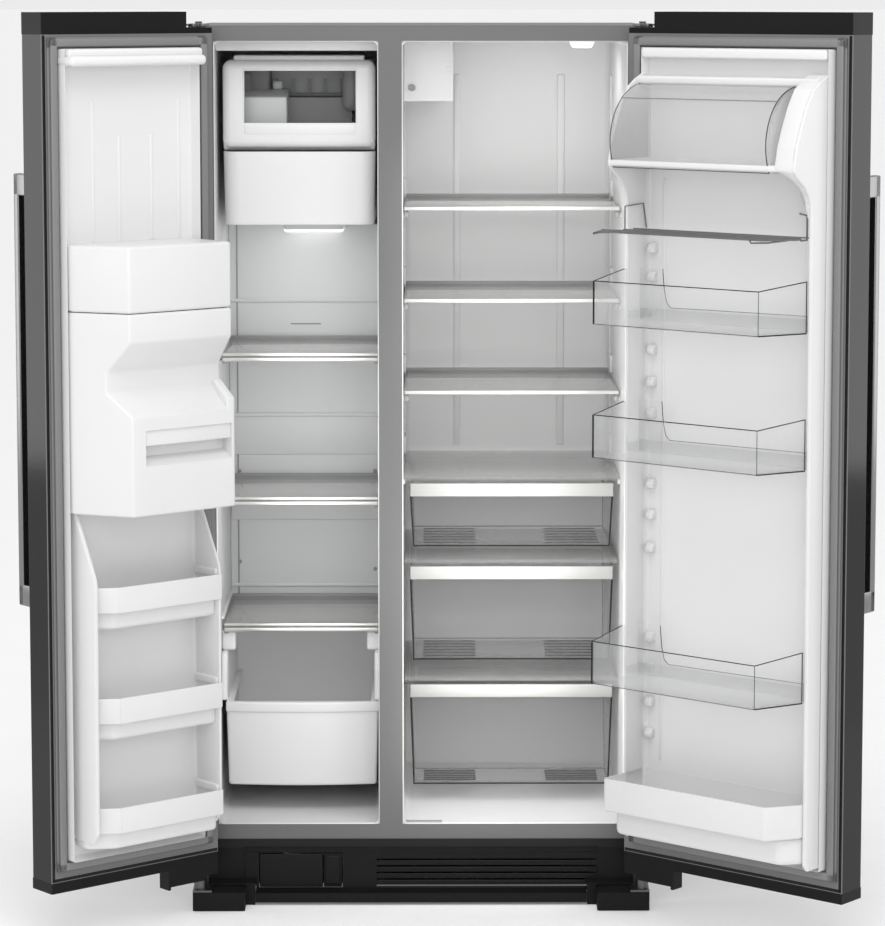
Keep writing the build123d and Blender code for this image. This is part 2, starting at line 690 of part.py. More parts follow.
dairy_pivot = (26.0, 1645.0)
dairy_arc_centre = (18.0, 1534.0)
with BuildPart() as dairy_door:
    with BuildSketch(Plane(origin=(right(60, 436)[0], 0, 0), x_dir=(0, 1, 0), z_dir=(1, 0, 0))):
        with Locations(dairy_arc_centre):
            Circle(108)
            Circle(105.5, mode=Mode.SUBTRACT)
        with Locations((-40, 1534)):
            Rectangle(116, 240, mode=Mode.SUBTRACT)
        with Locations((60, 1434)):
            Rectangle(200, 200, mode=Mode.SUBTRACT)
        with Locations((124.75, 1507)):
            Rectangle(2.5, 56)
    extrude(amount=376)
    rod(4, (right(60, 436)[0], *dairy_pivot), (right(60, 436)[1], *dairy_pivot))
fridge_door_pieces["dairy_door"] = dairy_door

wire = 2.2
rack_z = 1366.0
with BuildPart() as can_rack:
    for wire_y in (2, 52, 101, 150):
        rod(wire, (right(56, 466)[0], wire_y, rack_z), (right(56, 466)[1], wire_y, rack_z))
    for wire_x in (half_width - 58, half_width - 260, half_width - 464):
        rod(wire, (wire_x, 2, rack_z), (wire_x, 150, rack_z))
    for wire_x in (half_width - 58, half_width - 464):
        rod(wire, (wire_x, 2, rack_z), (wire_x, 2, rack_z + 40))
        rod(wire, (wire_x, 40, rack_z), (wire_x, 40, rack_z + 40))
        rod(wire, (wire_x, 2, rack_z + 40), (wire_x, 40, rack_z + 40))
fridge_door_pieces["can_rack"] = can_rack

bin_floors = (1186.0, 930.0, 492.0)
bin_height = 72.0


def bin_outline(inset):
    """Add a door bin's outline, its front corner cut off at the door's free side."""
    with BuildLine() as outline:
        Polyline(
            (half_width - 54 - inset, -6 + inset),
            (half_width - 54 - inset, 165 - inset),
            (half_width - 431 + inset * 0.4, 165 - inset),
            (half_width - 468 + inset, 100 - inset * 0.4),
            (half_width - 468 + inset, -6 + inset),
            close=True,
        )
    make_face(outline.edges())


with BuildPart() as door_bins:
    for floor in bin_floors:
        with BuildSketch(Plane.XY.offset(floor)):
            bin_outline(0)
        extrude(amount=bin_height)
        with BuildSketch(Plane.XY.offset(floor + 2.5)):
            bin_outline(2.5)
        extrude(amount=bin_height, mode=Mode.SUBTRACT)
fridge_door_pieces["door_bins"] = door_bins

# ---------------------------------------------------------------- writing, with the doors swung open

freezer_hinge = Axis((-hinge_x, hinge_y, 0), (0, 0, 1))
fridge_hinge = Axis((hinge_x, hinge_y, 0), (0, 0, 1))

os.makedirs("parts", exist_ok=True)
for name, piece in pieces.items():
    piece.part.label = name
    export_step(piece.part, f"parts/{name}.step")
for name, piece in freezer_door_pieces.items():
    hung = piece.part.rotate(freezer_hinge, -freezer_open_angle)
    hung.label = name
    export_step(hung, f"parts/{name}.step")
for name, piece in fridge_door_pieces.items():
    hung = piece.part.rotate(fridge_hinge, fridge_open_angle)
    hung.label = name
    export_step(hung, f"parts/{name}.step")
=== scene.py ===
import json
import math
import bmesh
import bpy
from mathutils import Matrix, Vector


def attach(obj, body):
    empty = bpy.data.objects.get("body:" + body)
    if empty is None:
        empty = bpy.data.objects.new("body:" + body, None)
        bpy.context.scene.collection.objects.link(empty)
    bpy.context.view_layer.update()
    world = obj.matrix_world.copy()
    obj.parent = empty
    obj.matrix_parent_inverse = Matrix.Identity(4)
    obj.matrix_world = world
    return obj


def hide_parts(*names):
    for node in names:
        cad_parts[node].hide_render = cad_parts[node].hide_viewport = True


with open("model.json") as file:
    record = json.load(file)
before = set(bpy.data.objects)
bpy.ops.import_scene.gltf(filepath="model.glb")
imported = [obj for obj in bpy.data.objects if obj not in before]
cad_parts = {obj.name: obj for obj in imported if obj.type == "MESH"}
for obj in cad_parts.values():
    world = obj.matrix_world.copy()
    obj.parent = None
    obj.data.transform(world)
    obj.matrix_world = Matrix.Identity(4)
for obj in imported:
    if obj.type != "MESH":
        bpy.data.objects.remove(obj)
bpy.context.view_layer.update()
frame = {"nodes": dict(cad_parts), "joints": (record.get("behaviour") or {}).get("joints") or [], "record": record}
record = frame["record"]
joints = {joint["name"]: joint for joint in frame["joints"]}
MM = 0.001  # metres in a millimetre, the unit that the pieces are modelled in


# ------------------------------------------------------------------ places read from the frame

def closed_to_open(joint_name):
    """The matrix that swings a door from shut, where it is drawn, to its place at rest."""
    joint = joints[joint_name]
    pivot = Matrix.Translation(Vector(joint["pos_m"]))
    swing = Matrix.Rotation(-math.radians(joint["range_deg"][1]), 4, Vector(joint["axis"]))
    return pivot @ swing @ pivot.inverted()


AT_REST = Matrix.Identity(4)
FREEZER_DOOR = closed_to_open("freezer_door_hinge")
FRIDGE_DOOR = closed_to_open("fridge_door_hinge")


class Limits:
    """A CAD node's box in millimetres, as pairs of x, y and z limits; a door's node is measured as if shut."""

    def __init__(self, node, place=AT_REST):
        back = place.inverted()
        points = [back @ vertex.co / MM for vertex in frame["nodes"][node].data.vertices]
        self.x, self.y, self.z = [
            (min(point[axis] for point in points), max(point[axis] for point in points)) for axis in range(3)
        ]


def mid(pair):
    """The middle of a pair of limits."""
    return (pair[0] + pair[1]) / 2


def size(pair):
    """The length between a pair of limits."""
    return pair[1] - pair[0]


def grow(pair, amount):
    """A pair of limits, each moved outwards."""
    return (pair[0] - amount, pair[1] + amount)


def between(first, second):
    """A pair of limits from two places, given in either order."""
    return (min(first, second), max(first, second))


def ends(pair):
    """Each end of a pair of limits, with the direction that leads inwards from it."""
    return ((pair[0], 1), (pair[1], -1))


# ------------------------------------------------------------------ shader maths

class Value:
    """A number that varies over a surface. Arithmetic on it adds Math nodes."""

    def __init__(self, finish, socket):
        self.finish = finish
        self.socket = socket

    def math(self, operation, first, second):
        return self.finish.add("ShaderNodeMath", {"operation": operation}, {0: first, 1: second})

    def __add__(self, other):
        return self.math("ADD", self, other)

    def __mul__(self, other):
        return self.math("MULTIPLY", self, other)

    def __gt__(self, other):
        return self.math("GREATER_THAN", self, other)

    __radd__ = __add__
    __rmul__ = __mul__


class Finish:
    """One material: a Principled shader and the nodes that feed it."""

    def __init__(self, name, **constants):
        self.material = bpy.data.materials.new(name)
        self.material.use_nodes = True
        self.tree = self.material.node_tree
        self.shader = self.tree.nodes["Principled BSDF"]
        for socket, value in constants.items():
            self.shader.inputs[socket.replace("_", " ")].default_value = value

    def add(self, kind, settings=None, sockets=None, out=0):
        """Add a node: its settings first, then a value or a link for each socket."""
        node = self.tree.nodes.new(kind)
        for name, value in (settings or {}).items():
            if name == "stops":
                ramp = node.color_ramp
                for at, colour in value[2:]:
                    ramp.elements.new(at).color = colour
                for element, (at, colour) in zip(ramp.elements, value[:2]):
                    element.position, element.color = at, colour
            else:
                setattr(node, name, value)
        for name, value in (sockets or {}).items():
            self.feed(node.inputs[name], value)
        return Value(self, node.outputs[out])

    def feed(self, socket, value):
        """Link a Value to a socket, or set the socket's own number or colour."""
        if isinstance(value, Value):
            self.tree.links.new(value.socket, socket)
        else:
            socket.default_value = value

    def place(self, stretch=(1, 1, 1)):
        """Object coordinates, scaled along each axis."""
        where = self.add("ShaderNodeTexCoord", out=3)
        return self.add("ShaderNodeMapping", {}, {"Vector": where, "Scale": stretch})

    def noise(self, scale, detail=3.0, stretch=(1, 1, 1)):
        """Noise from 0 to 1 with about scale bumps to the metre."""
        where = self.place(stretch)
        return self.add("ShaderNodeTexNoise", {}, {"Vector": where, "Scale": scale, "Detail": detail})

    def mix(self, factor, first, second):
        """Blend two colours by a factor."""
        sockets = {"Factor": factor, 6: first, 7: second}
        return self.add("ShaderNodeMix", {"data_type": "RGBA"}, sockets, out=2)

    def along(self, direction):
        """The distance of each point along a direction."""
        where = self.add("ShaderNodeTexCoord", out=3)
        return self.add("ShaderNodeVectorMath", {"operation": "DOT_PRODUCT"}, {0: where, 1: direction}, out=1)

    def bump(self, height, distance, strength=1.0):
        """Raise the surface by a height that varies from 0 to 1."""
        sockets = {"Height": height, "Distance": distance, "Strength": strength}
        self.feed(self.shader.inputs["Normal"], self.add("ShaderNodeBump", {}, sockets))

    def colour(self, value):
        self.feed(self.shader.inputs["Base Color"], value)

    def roughness(self, value):
        self.feed(self.shader.inputs["Roughness"], value)


def grey(level, tint=(1.0, 1.0, 1.0)):
    """A colour of even grey, with a slight tint."""
    return (level * tint[0], level * tint[1], level * tint[2], 1.0)


def moulded(name, level, tint=(1, 1, 1), rough=0.38, grain=900.0, depth=0.00004, **constants):
    """Moulded plastic: a fine spark-eroded grain and a faint mottling from handling."""
    finish = Finish(name, **constants)
    wide = finish.noise(6.0, 2.0)
    finish.colour(finish.mix(wide, grey(level * 0.97, tint), grey(min(level * 1.02, 0.97), tint)))
    finish.roughness(wide * 0.10 + (rough - 0.05))
    finish.bump(finish.noise(grain, 2.0), depth)
    return finish.material


def painted(name, level, tint=(1, 1, 1), rough=0.35, peel=160.0, depth=0.00006, **constants):
    """Sprayed paint: orange peel in the gloss, and a faint cloudiness in the colour."""
    finish = Finish(name, **constants)
    cloud = finish.noise(3.0, 2.0)
    finish.colour(finish.mix(cloud, grey(level * 0.94, tint), grey(level * 1.05, tint)))
    finish.roughness(finish.noise(40.0, 2.0) * 0.08 + (rough - 0.04))
    finish.bump(finish.noise(peel, 1.0), depth)
    return finish.material


def brushed(name, level, along, rough=0.30, tint=(1, 1, 0.99)):
    """Brushed metal: long fine scratches in one direction."""
    finish = Finish(name, Metallic=1.0)
    stretch = tuple(0.02 if axis == along else 1.0 for axis in "xyz")
    grain = finish.noise(1800.0, 2.0, stretch)
    broad = finish.noise(300.0, 2.0, stretch)
    finish.colour(finish.mix(grain * 0.6 + broad * 0.4, grey(level * 0.82, tint), grey(level * 1.08, tint)))
    finish.roughness(grain * 0.14 + (rough - 0.07))
    finish.bump(grain, 0.00002)
    return finish.material


def clear(name, level, tint, body, edge, rough=0.06):
    """Clear moulding or glass: nearly unseen face on, denser where it is seen at a slant."""
    finish = Finish(name, IOR=1.5)
    slant = finish.add("ShaderNodeLayerWeight", {}, {"Blend": 0.35}, out=1)
    streak = finish.noise(5.0, 1.0)
    finish.colour(finish.mix(streak, grey(level * 0.985, tint), grey(level, tint)))
    finish.roughness(streak * 0.02 + rough)
    finish.feed(finish.shader.inputs["Alpha"], slant * edge + body)
    return finish.material


def rubber(name, level, tint=(1, 1, 1)):
    """Soft seal: matt, with faint lengthways drawing lines."""
    finish = Finish(name)
    lines = finish.noise(700.0, 2.0, (1.0, 1.0, 0.02))
    finish.colour(finish.mix(lines, grey(level * 0.92, tint), grey(level * 1.05, tint)))
    finish.roughness(lines * 0.10 + 0.50)
    finish.bump(lines, 0.00003)
    return finish.material


INNER_FACE_Y = -13.0  # where a shut door's inner face stands


def door_skin(name, place):
    """Gloss black sheet outside, with the grey painted return that the seal lies on inside."""
    finish = Finish(name, Specular_IOR_Level=0.2)
    out = place.to_3x3() @ Vector((0, 1, 0))
    plane = (place @ Vector((0, (INNER_FACE_Y - 1.5) * MM, 0))).dot(out)
    inside = finish.along(tuple(out)) > plane
    cloud = finish.noise(2.5, 2.0)
    gloss = finish.mix(cloud, grey(0.006), grey(0.010))
    finish.colour(finish.mix(inside, gloss, grey(0.16)))
    finish.roughness(inside * 0.30 + finish.noise(60.0, 2.0) * 0.05 + 0.10)
    finish.bump(finish.noise(90.0, 1.0), 0.00003)
    return finish.material


GLOSS_BLACK = painted("gloss_black", 0.006, rough=0.16, Specular_IOR_Level=0.2)
FRAME_GREY = painted("frame_grey", 0.12, rough=0.42)
CABINET_GREY = painted("cabinet_grey", 0.045, rough=0.40)
BAR_STEEL = brushed("bar_steel", 0.22, "z", 0.28)
ZINC = brushed("zinc_steel", 0.14, "x", 0.36)
SATIN_TRIM = brushed("satin_trim", 0.47, "x", 0.52, (1.0, 0.995, 0.97))
CHROME = brushed("polished_trim", 0.72, "x", 0.34, (1.0, 0.99, 0.96))
COIL_ALUMINIUM = brushed("coil_aluminium", 0.60, "z", 0.40)
COIL_BLACK = painted("coil_black", 0.03, rough=0.45)
SHELL_BLACK = painted("shell_black", 0.02, rough=0.35)
LINER_WHITE = moulded("liner_white", 0.69, rough=0.36, grain=500.0)
PANEL_WHITE = moulded("panel_white", 0.67, (0.985, 1.0, 1.0), rough=0.42, grain=500.0)
MOULDED_WHITE = moulded("moulded_white", 0.69, rough=0.34)
BLACK_PLASTIC = moulded("black_plastic", 0.006, rough=0.45, grain=1300.0, Specular_IOR_Level=0.15)
GREY_PLASTIC = moulded("grey_plastic", 0.30, rough=0.45, grain=1300.0)
SEAL_GREY = rubber("seal_grey", 0.19, (1.0, 1.0, 1.02))
ROLLER = moulded("roller_plastic", 0.55, rough=0.5)
WIRE = painted("rack_wire", 0.16, rough=0.30, Metallic=0.6)
FOAM = moulded("foam_cream", 0.70, (1.0, 0.95, 0.80), rough=0.9, grain=120.0, depth=0.0006)
CLEAR = clear("clear_moulding", 0.62, (0.99, 1.0, 1.0), 0.03, 0.36)
BIN_CLEAR = clear("bin_clear", 0.66, (0.99, 1.0, 1.0), 0.05, 0.40)
SMOKE = clear("dairy_clear", 0.60, (1.0, 1.0, 1.0), 0.10, 0.50)
GLASS = clear("shelf_glass", 0.55, (1.0, 1.0, 0.98), 0.18, 0.50)
# Near-black lines along the clear mouldings' edges and ribs: painted shade for the dark look of clear plastic seen
# edge-on.
EDGE_SHADE_BLACK = painted("painted_edge_shade", 0.012, rough=0.40, Specular_IOR_Level=0.2)
FROSTED = moulded("frosted_lens", 0.90, rough=0.6, Emission_Color=(1, 1, 1, 1), Emission_Strength=1.1)

SLOT_FINISH = {
    "cabinet_paint": CABINET_GREY,
    "frame_paint": FRAME_GREY,
    "door_gloss": GLOSS_BLACK,
    "handle_steel": BAR_STEEL,
    "steel": ZINC,
    "trim_steel": SATIN_TRIM,
    "trim_chrome": CHROME,
    "coil_aluminium": COIL_ALUMINIUM,
    "coil_black": COIL_BLACK,
    "compressor_black": SHELL_BLACK,
    "liner_white": LINER_WHITE,
    "panel_white": PANEL_WHITE,
    "moulded_white": MOULDED_WHITE,
    "clear_plastic": CLEAR,
    "shelf_glass": GLASS,
    "frosted": FROSTED,
    "foam": FOAM,
    "black_plastic": BLACK_PLASTIC,
    "grey_plastic": GREY_PLASTIC,
    "gasket_grey": SEAL_GREY,
    "roller_plastic": ROLLER,
    "dark_wire": WIRE,
}


# ------------------------------------------------------------------ modelling, in millimetres

FRONT_SHARE = 0.4  # how much a tray's front leans, for each part that its sides lean
CREASE = math.radians(38)  # faces that meet at more than this are shaded with a sharp edge


class Piece:
    """A visible piece, gathered from closed shapes modelled in millimetres."""

    def __init__(self):
        self.whole = bmesh.new()

    def take(self, shape):
        """Move a finished shape into the piece."""
        mesh = bpy.data.meshes.new("shape")
        shape.to_mesh(mesh)
        shape.free()
        self.whole.from_mesh(mesh)
        bpy.data.meshes.remove(mesh)

    def block(self, x, y, z, soft=0.0, steps=3):
        """A box with rounded edges."""
        shape = boxed(x, y, z)
        soften(shape, soft, steps)
        self.take(shape)

    def prism(self, outline, run, soft=0.0, steps=3):
        """A closed outline of points, extruded along a vector."""
        shape = extruded(outline, run)
        soften(shape, soft, steps)
        self.take(shape)

    def loft(self, rings, soft=0.0, steps=3, pocket=None, wall=0.0, mouth=None):
        """A skin over rings of points. With a wall it is a shell, open at its mouth's depth and height."""
        shape = bmesh.new()
        loops = []
        for ring in rings:
            verts = [shape.verts.new(point) for point in ring]
            loops.append([shape.edges.new(pair) for pair in zip(verts, verts[1:] + verts[:1])])
            if ring in (rings[0], rings[-1]):
                shape.faces.new(verts)
        for first, second in zip(loops, loops[1:]):
            bmesh.ops.bridge_loops(shape, edges=first + second)
        bmesh.ops.recalc_face_normals(shape, faces=shape.faces)
        soften(shape, soft, steps)
        if pocket:
            sink(shape, *pocket)
        if wall:
            middles = [(face, face.calc_center_median()) for face in shape.faces]
            opened = [
                face for face, middle in middles if middle.y < mouth[0] + 0.1 or abs(middle.z - mouth[1]) < 0.1
            ]
            bmesh.ops.delete(shape, geom=opened, context="FACES_ONLY")
            bmesh.ops.solidify(shape, geom=list(shape.faces), thickness=wall)
        self.take(shape)

    def tray(self, corners, floor, wall, soft=4.0, lean=0.0, upright=0.0, steps=3, back_lean=0.0):
        """A tray whose walls rise to each corner's own height, with its foot drawn in, most at its back."""
        shape = bmesh.new()
        centre = sum((Vector(corner) for corner in corners), Vector()) / len(corners)
        foot = []
        for x, y, _ in corners:
            foot_y = y - back_lean if y > centre.y else y + lean * FRONT_SHARE
            foot.append(shape.verts.new((x - math.copysign(lean, x - centre.x), foot_y, floor)))
        head = [shape.verts.new(corner) for corner in corners]
        shape.faces.new(foot)
        for here in range(len(corners)):
            shape.faces.new((foot[here - 1], foot[here], head[here], head[here - 1]))
        bmesh.ops.recalc_face_normals(shape, faces=shape.faces)
        if upright:
            posts = [edge for edge in shape.edges if abs(edge.verts[0].co.z - edge.verts[1].co.z) > 20]
            bevelled(shape, [edge for edge in posts if len(edge.link_faces) == 2], upright, 6)
        soften(shape, soft, steps)
        bmesh.ops.solidify(shape, geom=list(shape.faces), thickness=wall)
        self.take(shape)

    def hollow(self, x, y, z, wall, soft=12.0, steps=4, window=None):
        """A rounded cover, open at its back, with a window through its front if one is given."""
        shape = boxed(x, y, z)
        back = [face for face in shape.faces if face.calc_center_median().y > y[1] - 0.1]
        bmesh.ops.delete(shape, geom=back, context="FACES_ONLY")
        soften(shape, soft, steps)
        if window:
            bmesh.ops.delete(shape, geom=marked_out(shape, window[0], window[1], y[0]), context="FACES_ONLY")
        bmesh.ops.solidify(shape, geom=list(shape.faces), thickness=wall)
        self.take(shape)

    def cavity(self, x, y, z, wall, soft=14.0, steps=4):
        """The inside of a rounded box that is open at its front, with its wall outside it."""
        shape = boxed(x, y, z)
        front = [face for face in shape.faces if face.calc_center_median().y < y[0] + 0.1]
        bmesh.ops.delete(shape, geom=front, context="FACES_ONLY")
        soften(shape, soft, steps)
        bmesh.ops.reverse_faces(shape, faces=shape.faces)
        bmesh.ops.solidify(shape, geom=list(shape.faces), thickness=wall)
        self.take(shape)

    def rod(self, start, end, radius, far_radius=None, sides=24, soft=0.0):
        """A round bar or cone between two points."""
        start, end = Vector(start), Vector(end)
        shape = bmesh.new()
        far = radius if far_radius is None else far_radius
        depth = (end - start).length
        bmesh.ops.create_cone(shape, cap_ends=True, segments=sides, radius1=radius, radius2=far, depth=depth)
        if soft:
            rims = [edge for edge in shape.edges if abs(edge.verts[0].co.z - edge.verts[1].co.z) < 0.01]
            bevelled(shape, rims, soft, 2)
        turn = Vector((0, 0, 1)).rotation_difference(end - start).to_matrix().to_4x4()
        bmesh.ops.transform(shape, matrix=Matrix.Translation((start + end) / 2) @ turn, verts=shape.verts)
        self.take(shape)

    def wire(self, points, radius):
        """Bent wire along points."""
        curve = bpy.data.curves.new("wire", "CURVE")
        curve.dimensions = "3D"
        curve.bevel_depth = radius
        curve.bevel_resolution = 2
        curve.use_fill_caps = True
        spline = curve.splines.new("POLY")
        spline.points.add(len(points) - 1)
        for place, point in zip(spline.points, points):
            place.co = (*point, 1)
        holder = bpy.data.objects.new("wire", curve)
        mesh = bpy.data.meshes.new_from_object(holder)
        self.whole.from_mesh(mesh)
        bpy.data.objects.remove(holder)
        bpy.data.curves.remove(curve)
        bpy.data.meshes.remove(mesh)

    def finish(self, name, body, slot, stands_for=(), place=AT_REST, material=None):
        """Make the object, in metres, and set what it moves with and what it stands for."""
        bmesh.ops.scale(self.whole, vec=(MM, MM, MM), verts=self.whole.verts)
        bmesh.ops.transform(self.whole, matrix=place, verts=self.whole.verts)
        mesh = bpy.data.meshes.new(name)
        self.whole.to_mesh(mesh)
        self.whole.free()
        mesh.shade_smooth()
        mesh.set_sharp_from_angle(angle=CREASE)
        mesh.materials.append(material or SLOT_FINISH[slot])
        made = bpy.data.objects.new(name, mesh)
        bpy.context.scene.collection.objects.link(made)
        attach(made, body)
        if stands_for:
            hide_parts(*stands_for)


def boxed(x, y, z):
    """A sharp box between limits."""
    shape = bmesh.new()
    bmesh.ops.create_cube(shape, size=1.0)
    bmesh.ops.scale(shape, vec=(size(x), size(y), size(z)), verts=shape.verts)
    bmesh.ops.translate(shape, vec=(mid(x), mid(y), mid(z)), verts=shape.verts)
    return shape


def bevelled(shape, edges, soft, steps):
    """Round some edges of a shape."""
    bmesh.ops.bevel(
        shape, geom=list(edges), offset=soft, offset_type="OFFSET", segments=steps, profile=0.5,
        affect="EDGES", clamp_overlap=True, material=-1,
    )


def soften(shape, soft, steps):
    """Round every edge where two faces meet at an angle."""
    if soft:
        shape.normal_update()
        joined = [edge for edge in shape.edges if len(edge.link_faces) == 2]
        bevelled(shape, [edge for edge in joined if edge.calc_face_angle() > 0.1], soft, steps)


def extruded(outline, run):
    """A closed shape from an outline, drawn out along a vector."""
    shape = bmesh.new()
    face = shape.faces.new([shape.verts.new(point) for point in outline])
    made = bmesh.ops.extrude_face_region(shape, geom=[face])["geom"]
    far = [item for item in made if isinstance(item, bmesh.types.BMVert)]
    bmesh.ops.translate(shape, vec=run, verts=far)
    bmesh.ops.recalc_face_normals(shape, faces=shape.faces)
    return shape


def marked_out(shape, x, z, y):
    """Cut a shape's face at y along an oblong's sides, and return the faces inside it."""
    for at, across in ((x[0], 0), (x[1], 0), (z[0], 2), (z[1], 2)):
        near = [face for face in shape.faces if abs(face.calc_center_median().y - y) < 0.5]
        edges = {edge for face in near for edge in face.edges}
        verts = {vert for face in near for vert in face.verts}
        normal = Vector((1, 0, 0)) if across == 0 else Vector((0, 0, 1))
        bmesh.ops.bisect_plane(
            shape, geom=[*near, *edges, *verts], dist=0.001, plane_co=normal * at, plane_no=normal
        )
    inside = []
    for face in shape.faces:
        centre = face.calc_center_median()
        if x[0] < centre.x < x[1] and z[0] < centre.z < z[1] and abs(centre.y - y) < 0.5:
            inside.append(face)
    return inside


def sink(shape, x, z, y, depth, slope):
    """Press an oblong part of a shape's face at y inwards, with a foot that slopes."""
    inside = marked_out(shape, x, z, y)
    made = bmesh.ops.extrude_face_region(shape, geom=inside)["geom"]
    bmesh.ops.delete(shape, geom=[face for face in inside if face.is_valid], context="FACES_ONLY")
    for item in made:
        if isinstance(item, bmesh.types.BMVert):
            item.co.y -= depth
            if item.co.z < z[0] + 0.1:
                item.co.z += slope


def oblong(x, y, top):
    """The corners of an oblong at a height."""
    return [(x[0], y[0], top), (x[1], y[0], top), (x[1], y[1], top), (x[0], y[1], top)]


def arc(centre, radius, start, stop, steps):
    """Points along an arc, from one angle to another in degrees."""
    angles = [math.radians(start + (stop - start) * step / steps) for step in range(steps + 1)]
    return [(centre[0] + radius * math.cos(angle), centre[1] + radius * math.sin(angle)) for angle in angles]


class Door:
    """A door drawn shut: distances across it start from its hinge edge."""

    def __init__(self, shell, side, place, body):
        self.box = Limits(shell, place)
        self.side = side
        self.place = place
        self.body = body
        self.edge = self.box.x[0] if side < 0 else self.box.x[1]

    def at(self, across):
        """The x of a distance across the door."""
        return self.edge - self.side * across

    def span(self, near, far):
        """The x limits between two distances across the door."""
        return between(self.at(near), self.at(far))

    def plan(self, points):
        """Plan points, given as distances across and into the cabinet."""
        return [(self.at(across), y) for across, y in points]

    def cheek(self, piece, near, far, outline, soft=2.0):
        """A side wall on an outline of depths and heights, between two distances across."""
        points = [(self.at(near), y, z) for y, z in outline]
        piece.prism(points, (self.at(far) - self.at(near), 0, 0), soft)

    def finish(self, piece, name, slot, stands_for=(), body=None, material=None):
        """Finish a piece of the door, opened from shut to its place at rest."""
        piece.finish(name, body or self.body, slot, stands_for, self.place, material)


freezer_door = Door("freezer_door_shell", -1, FREEZER_DOOR, "freezer_door")
fridge_door = Door("fridge_door_shell", 1, FRIDGE_DOOR, "fridge_door")


# ------------------------------------------------------------------ finishes of the pieces that CAD shapes already

for entry in record["subparts"]:
    skins = frame["nodes"][entry["node"]].data.materials
    skins.clear()
    skins.append(SLOT_FINISH[entry["material_slot"]])


# ------------------------------------------------------------------ freezer and fridge compartments

freezer = Limits("freezer_liner")
fridge = Limits("fridge_liner")
back_panel = Limits("freezer_back_panel")
WALL = 2.5
HUMP_Y, HUMP_Z = 542.5, 332.5  # the front and the top of the step over the machine bay
BEAD = 2  # how far the bead round a liner's mouth stands out


def compartment(box):
    """A moulded liner: rounded corners, the step over the machine bay, and a bead round its mouth."""
    x, y, z = grow(box.x, -WALL), (box.y[0], box.y[1] - WALL), grow(box.z, -WALL)
    piece = Piece()
    piece.cavity(x, y, z, WALL, 16)
    piece.block(grow(x, 1), (HUMP_Y, y[1] + 1), (z[0] - 1, HUMP_Z), 8)
    for edge_z in (z[0], z[1]):
        piece.block(x, (y[0] + 0.5, y[0] + 5), grow((edge_z, edge_z), BEAD), 1.6)
    for edge_x in x:
        piece.block(grow((edge_x, edge_x), BEAD), (y[0] + 0.5, y[0] + 5), z, 1.6)
    return piece, x, y, z


liner_piece, x, y, z = compartment(freezer)
liner_piece.block(x, (50, 60), (1700, z[1] + 1), 4)
SHELF_TOPS = (1089.0, 796.0, 537.0)
for top in SHELF_TOPS:
    for wall_x, side in ends(x):
        for lift in (-16, 12):
            ledge = between(wall_x - side, wall_x + 5 * side)
            liner_piece.block(ledge, (150, 470), (top + lift - 3, top + lift + 3), 2)
liner_piece.finish("freezer_liner_moulding", "cabinet", "liner_white", ["freezer_liner"])

liner_piece, x, y, z = compartment(fridge)
FRIDGE_TOPS = (1382.0, 1195.0, 1008.0)
RIDGE_Z = (840, 1640)
for ridge in ((70, 84), (292, 308)):
    liner_piece.block(ridge, (y[1] - 3, y[1] + 1), RIDGE_Z, 2.5)
for wall_x, side in ends(x):
    liner_piece.block(between(wall_x - side, wall_x + 4 * side), (560, 600), RIDGE_Z, 3)
    for top in (*FRIDGE_TOPS, 836.0):
        ledge = between(wall_x - side, wall_x + 5 * side)
        liner_piece.block(ledge, (196, 560), (top - 20, top - 9), 3)
        liner_piece.block(ledge, (500, 585), (top + 3, top + 40), 4)
liner_piece.finish("fridge_liner_moulding", "cabinet", "liner_white", ["fridge_liner"])

# Back panel of the freezer, with its steps, a slit and its screws.
panel = Piece()
panel.block(back_panel.x, back_panel.y, back_panel.z, 1.2)
face_y = back_panel.y[0]
for step_z, depth in ((1168, 3.0), (925, 5.0), (560, 4.0)):
    panel.block(grow(back_panel.x, -3), (face_y - depth, face_y + 1), (step_z - 4, step_z + 4), 2.5)
panel.block(grow(back_panel.x, -2), (face_y - 2.2, face_y + 1), (840, 925), 1.8)
panel.block(grow(back_panel.x, -2), (face_y - 2.6, face_y + 1), (700, 745), 2.0)
panel.finish("freezer_back_moulding", "cabinet", "panel_white", ["freezer_back_panel"])

screws = Piece()
for at_x, at_z in ((-386, 805), (-98, 805), (-386, 610), (-98, 594), (-386, 484), (-98, 500)):
    screws.rod((at_x, face_y - 2.5, at_z), (at_x, face_y + 0.5, at_z), 4.2, soft=1.0)
    screws.block((at_x - 3, at_x + 3), (face_y - 2.9, face_y - 2), (at_z - 0.7, at_z + 0.7))
screws.block((-275, -212), (face_y - 0.8, face_y + 0.4), (1117, 1120), 0.3)
# A grey strip standing out down the panel's left edge: painted shadow for the shade in the gap there.
screws.block((-390, -387), (face_y - 2, face_y + 0.4), (540, 1352), 0.4)
screws.finish("freezer_back_screws_and_shadow_strip", "cabinet", "grey_plastic")

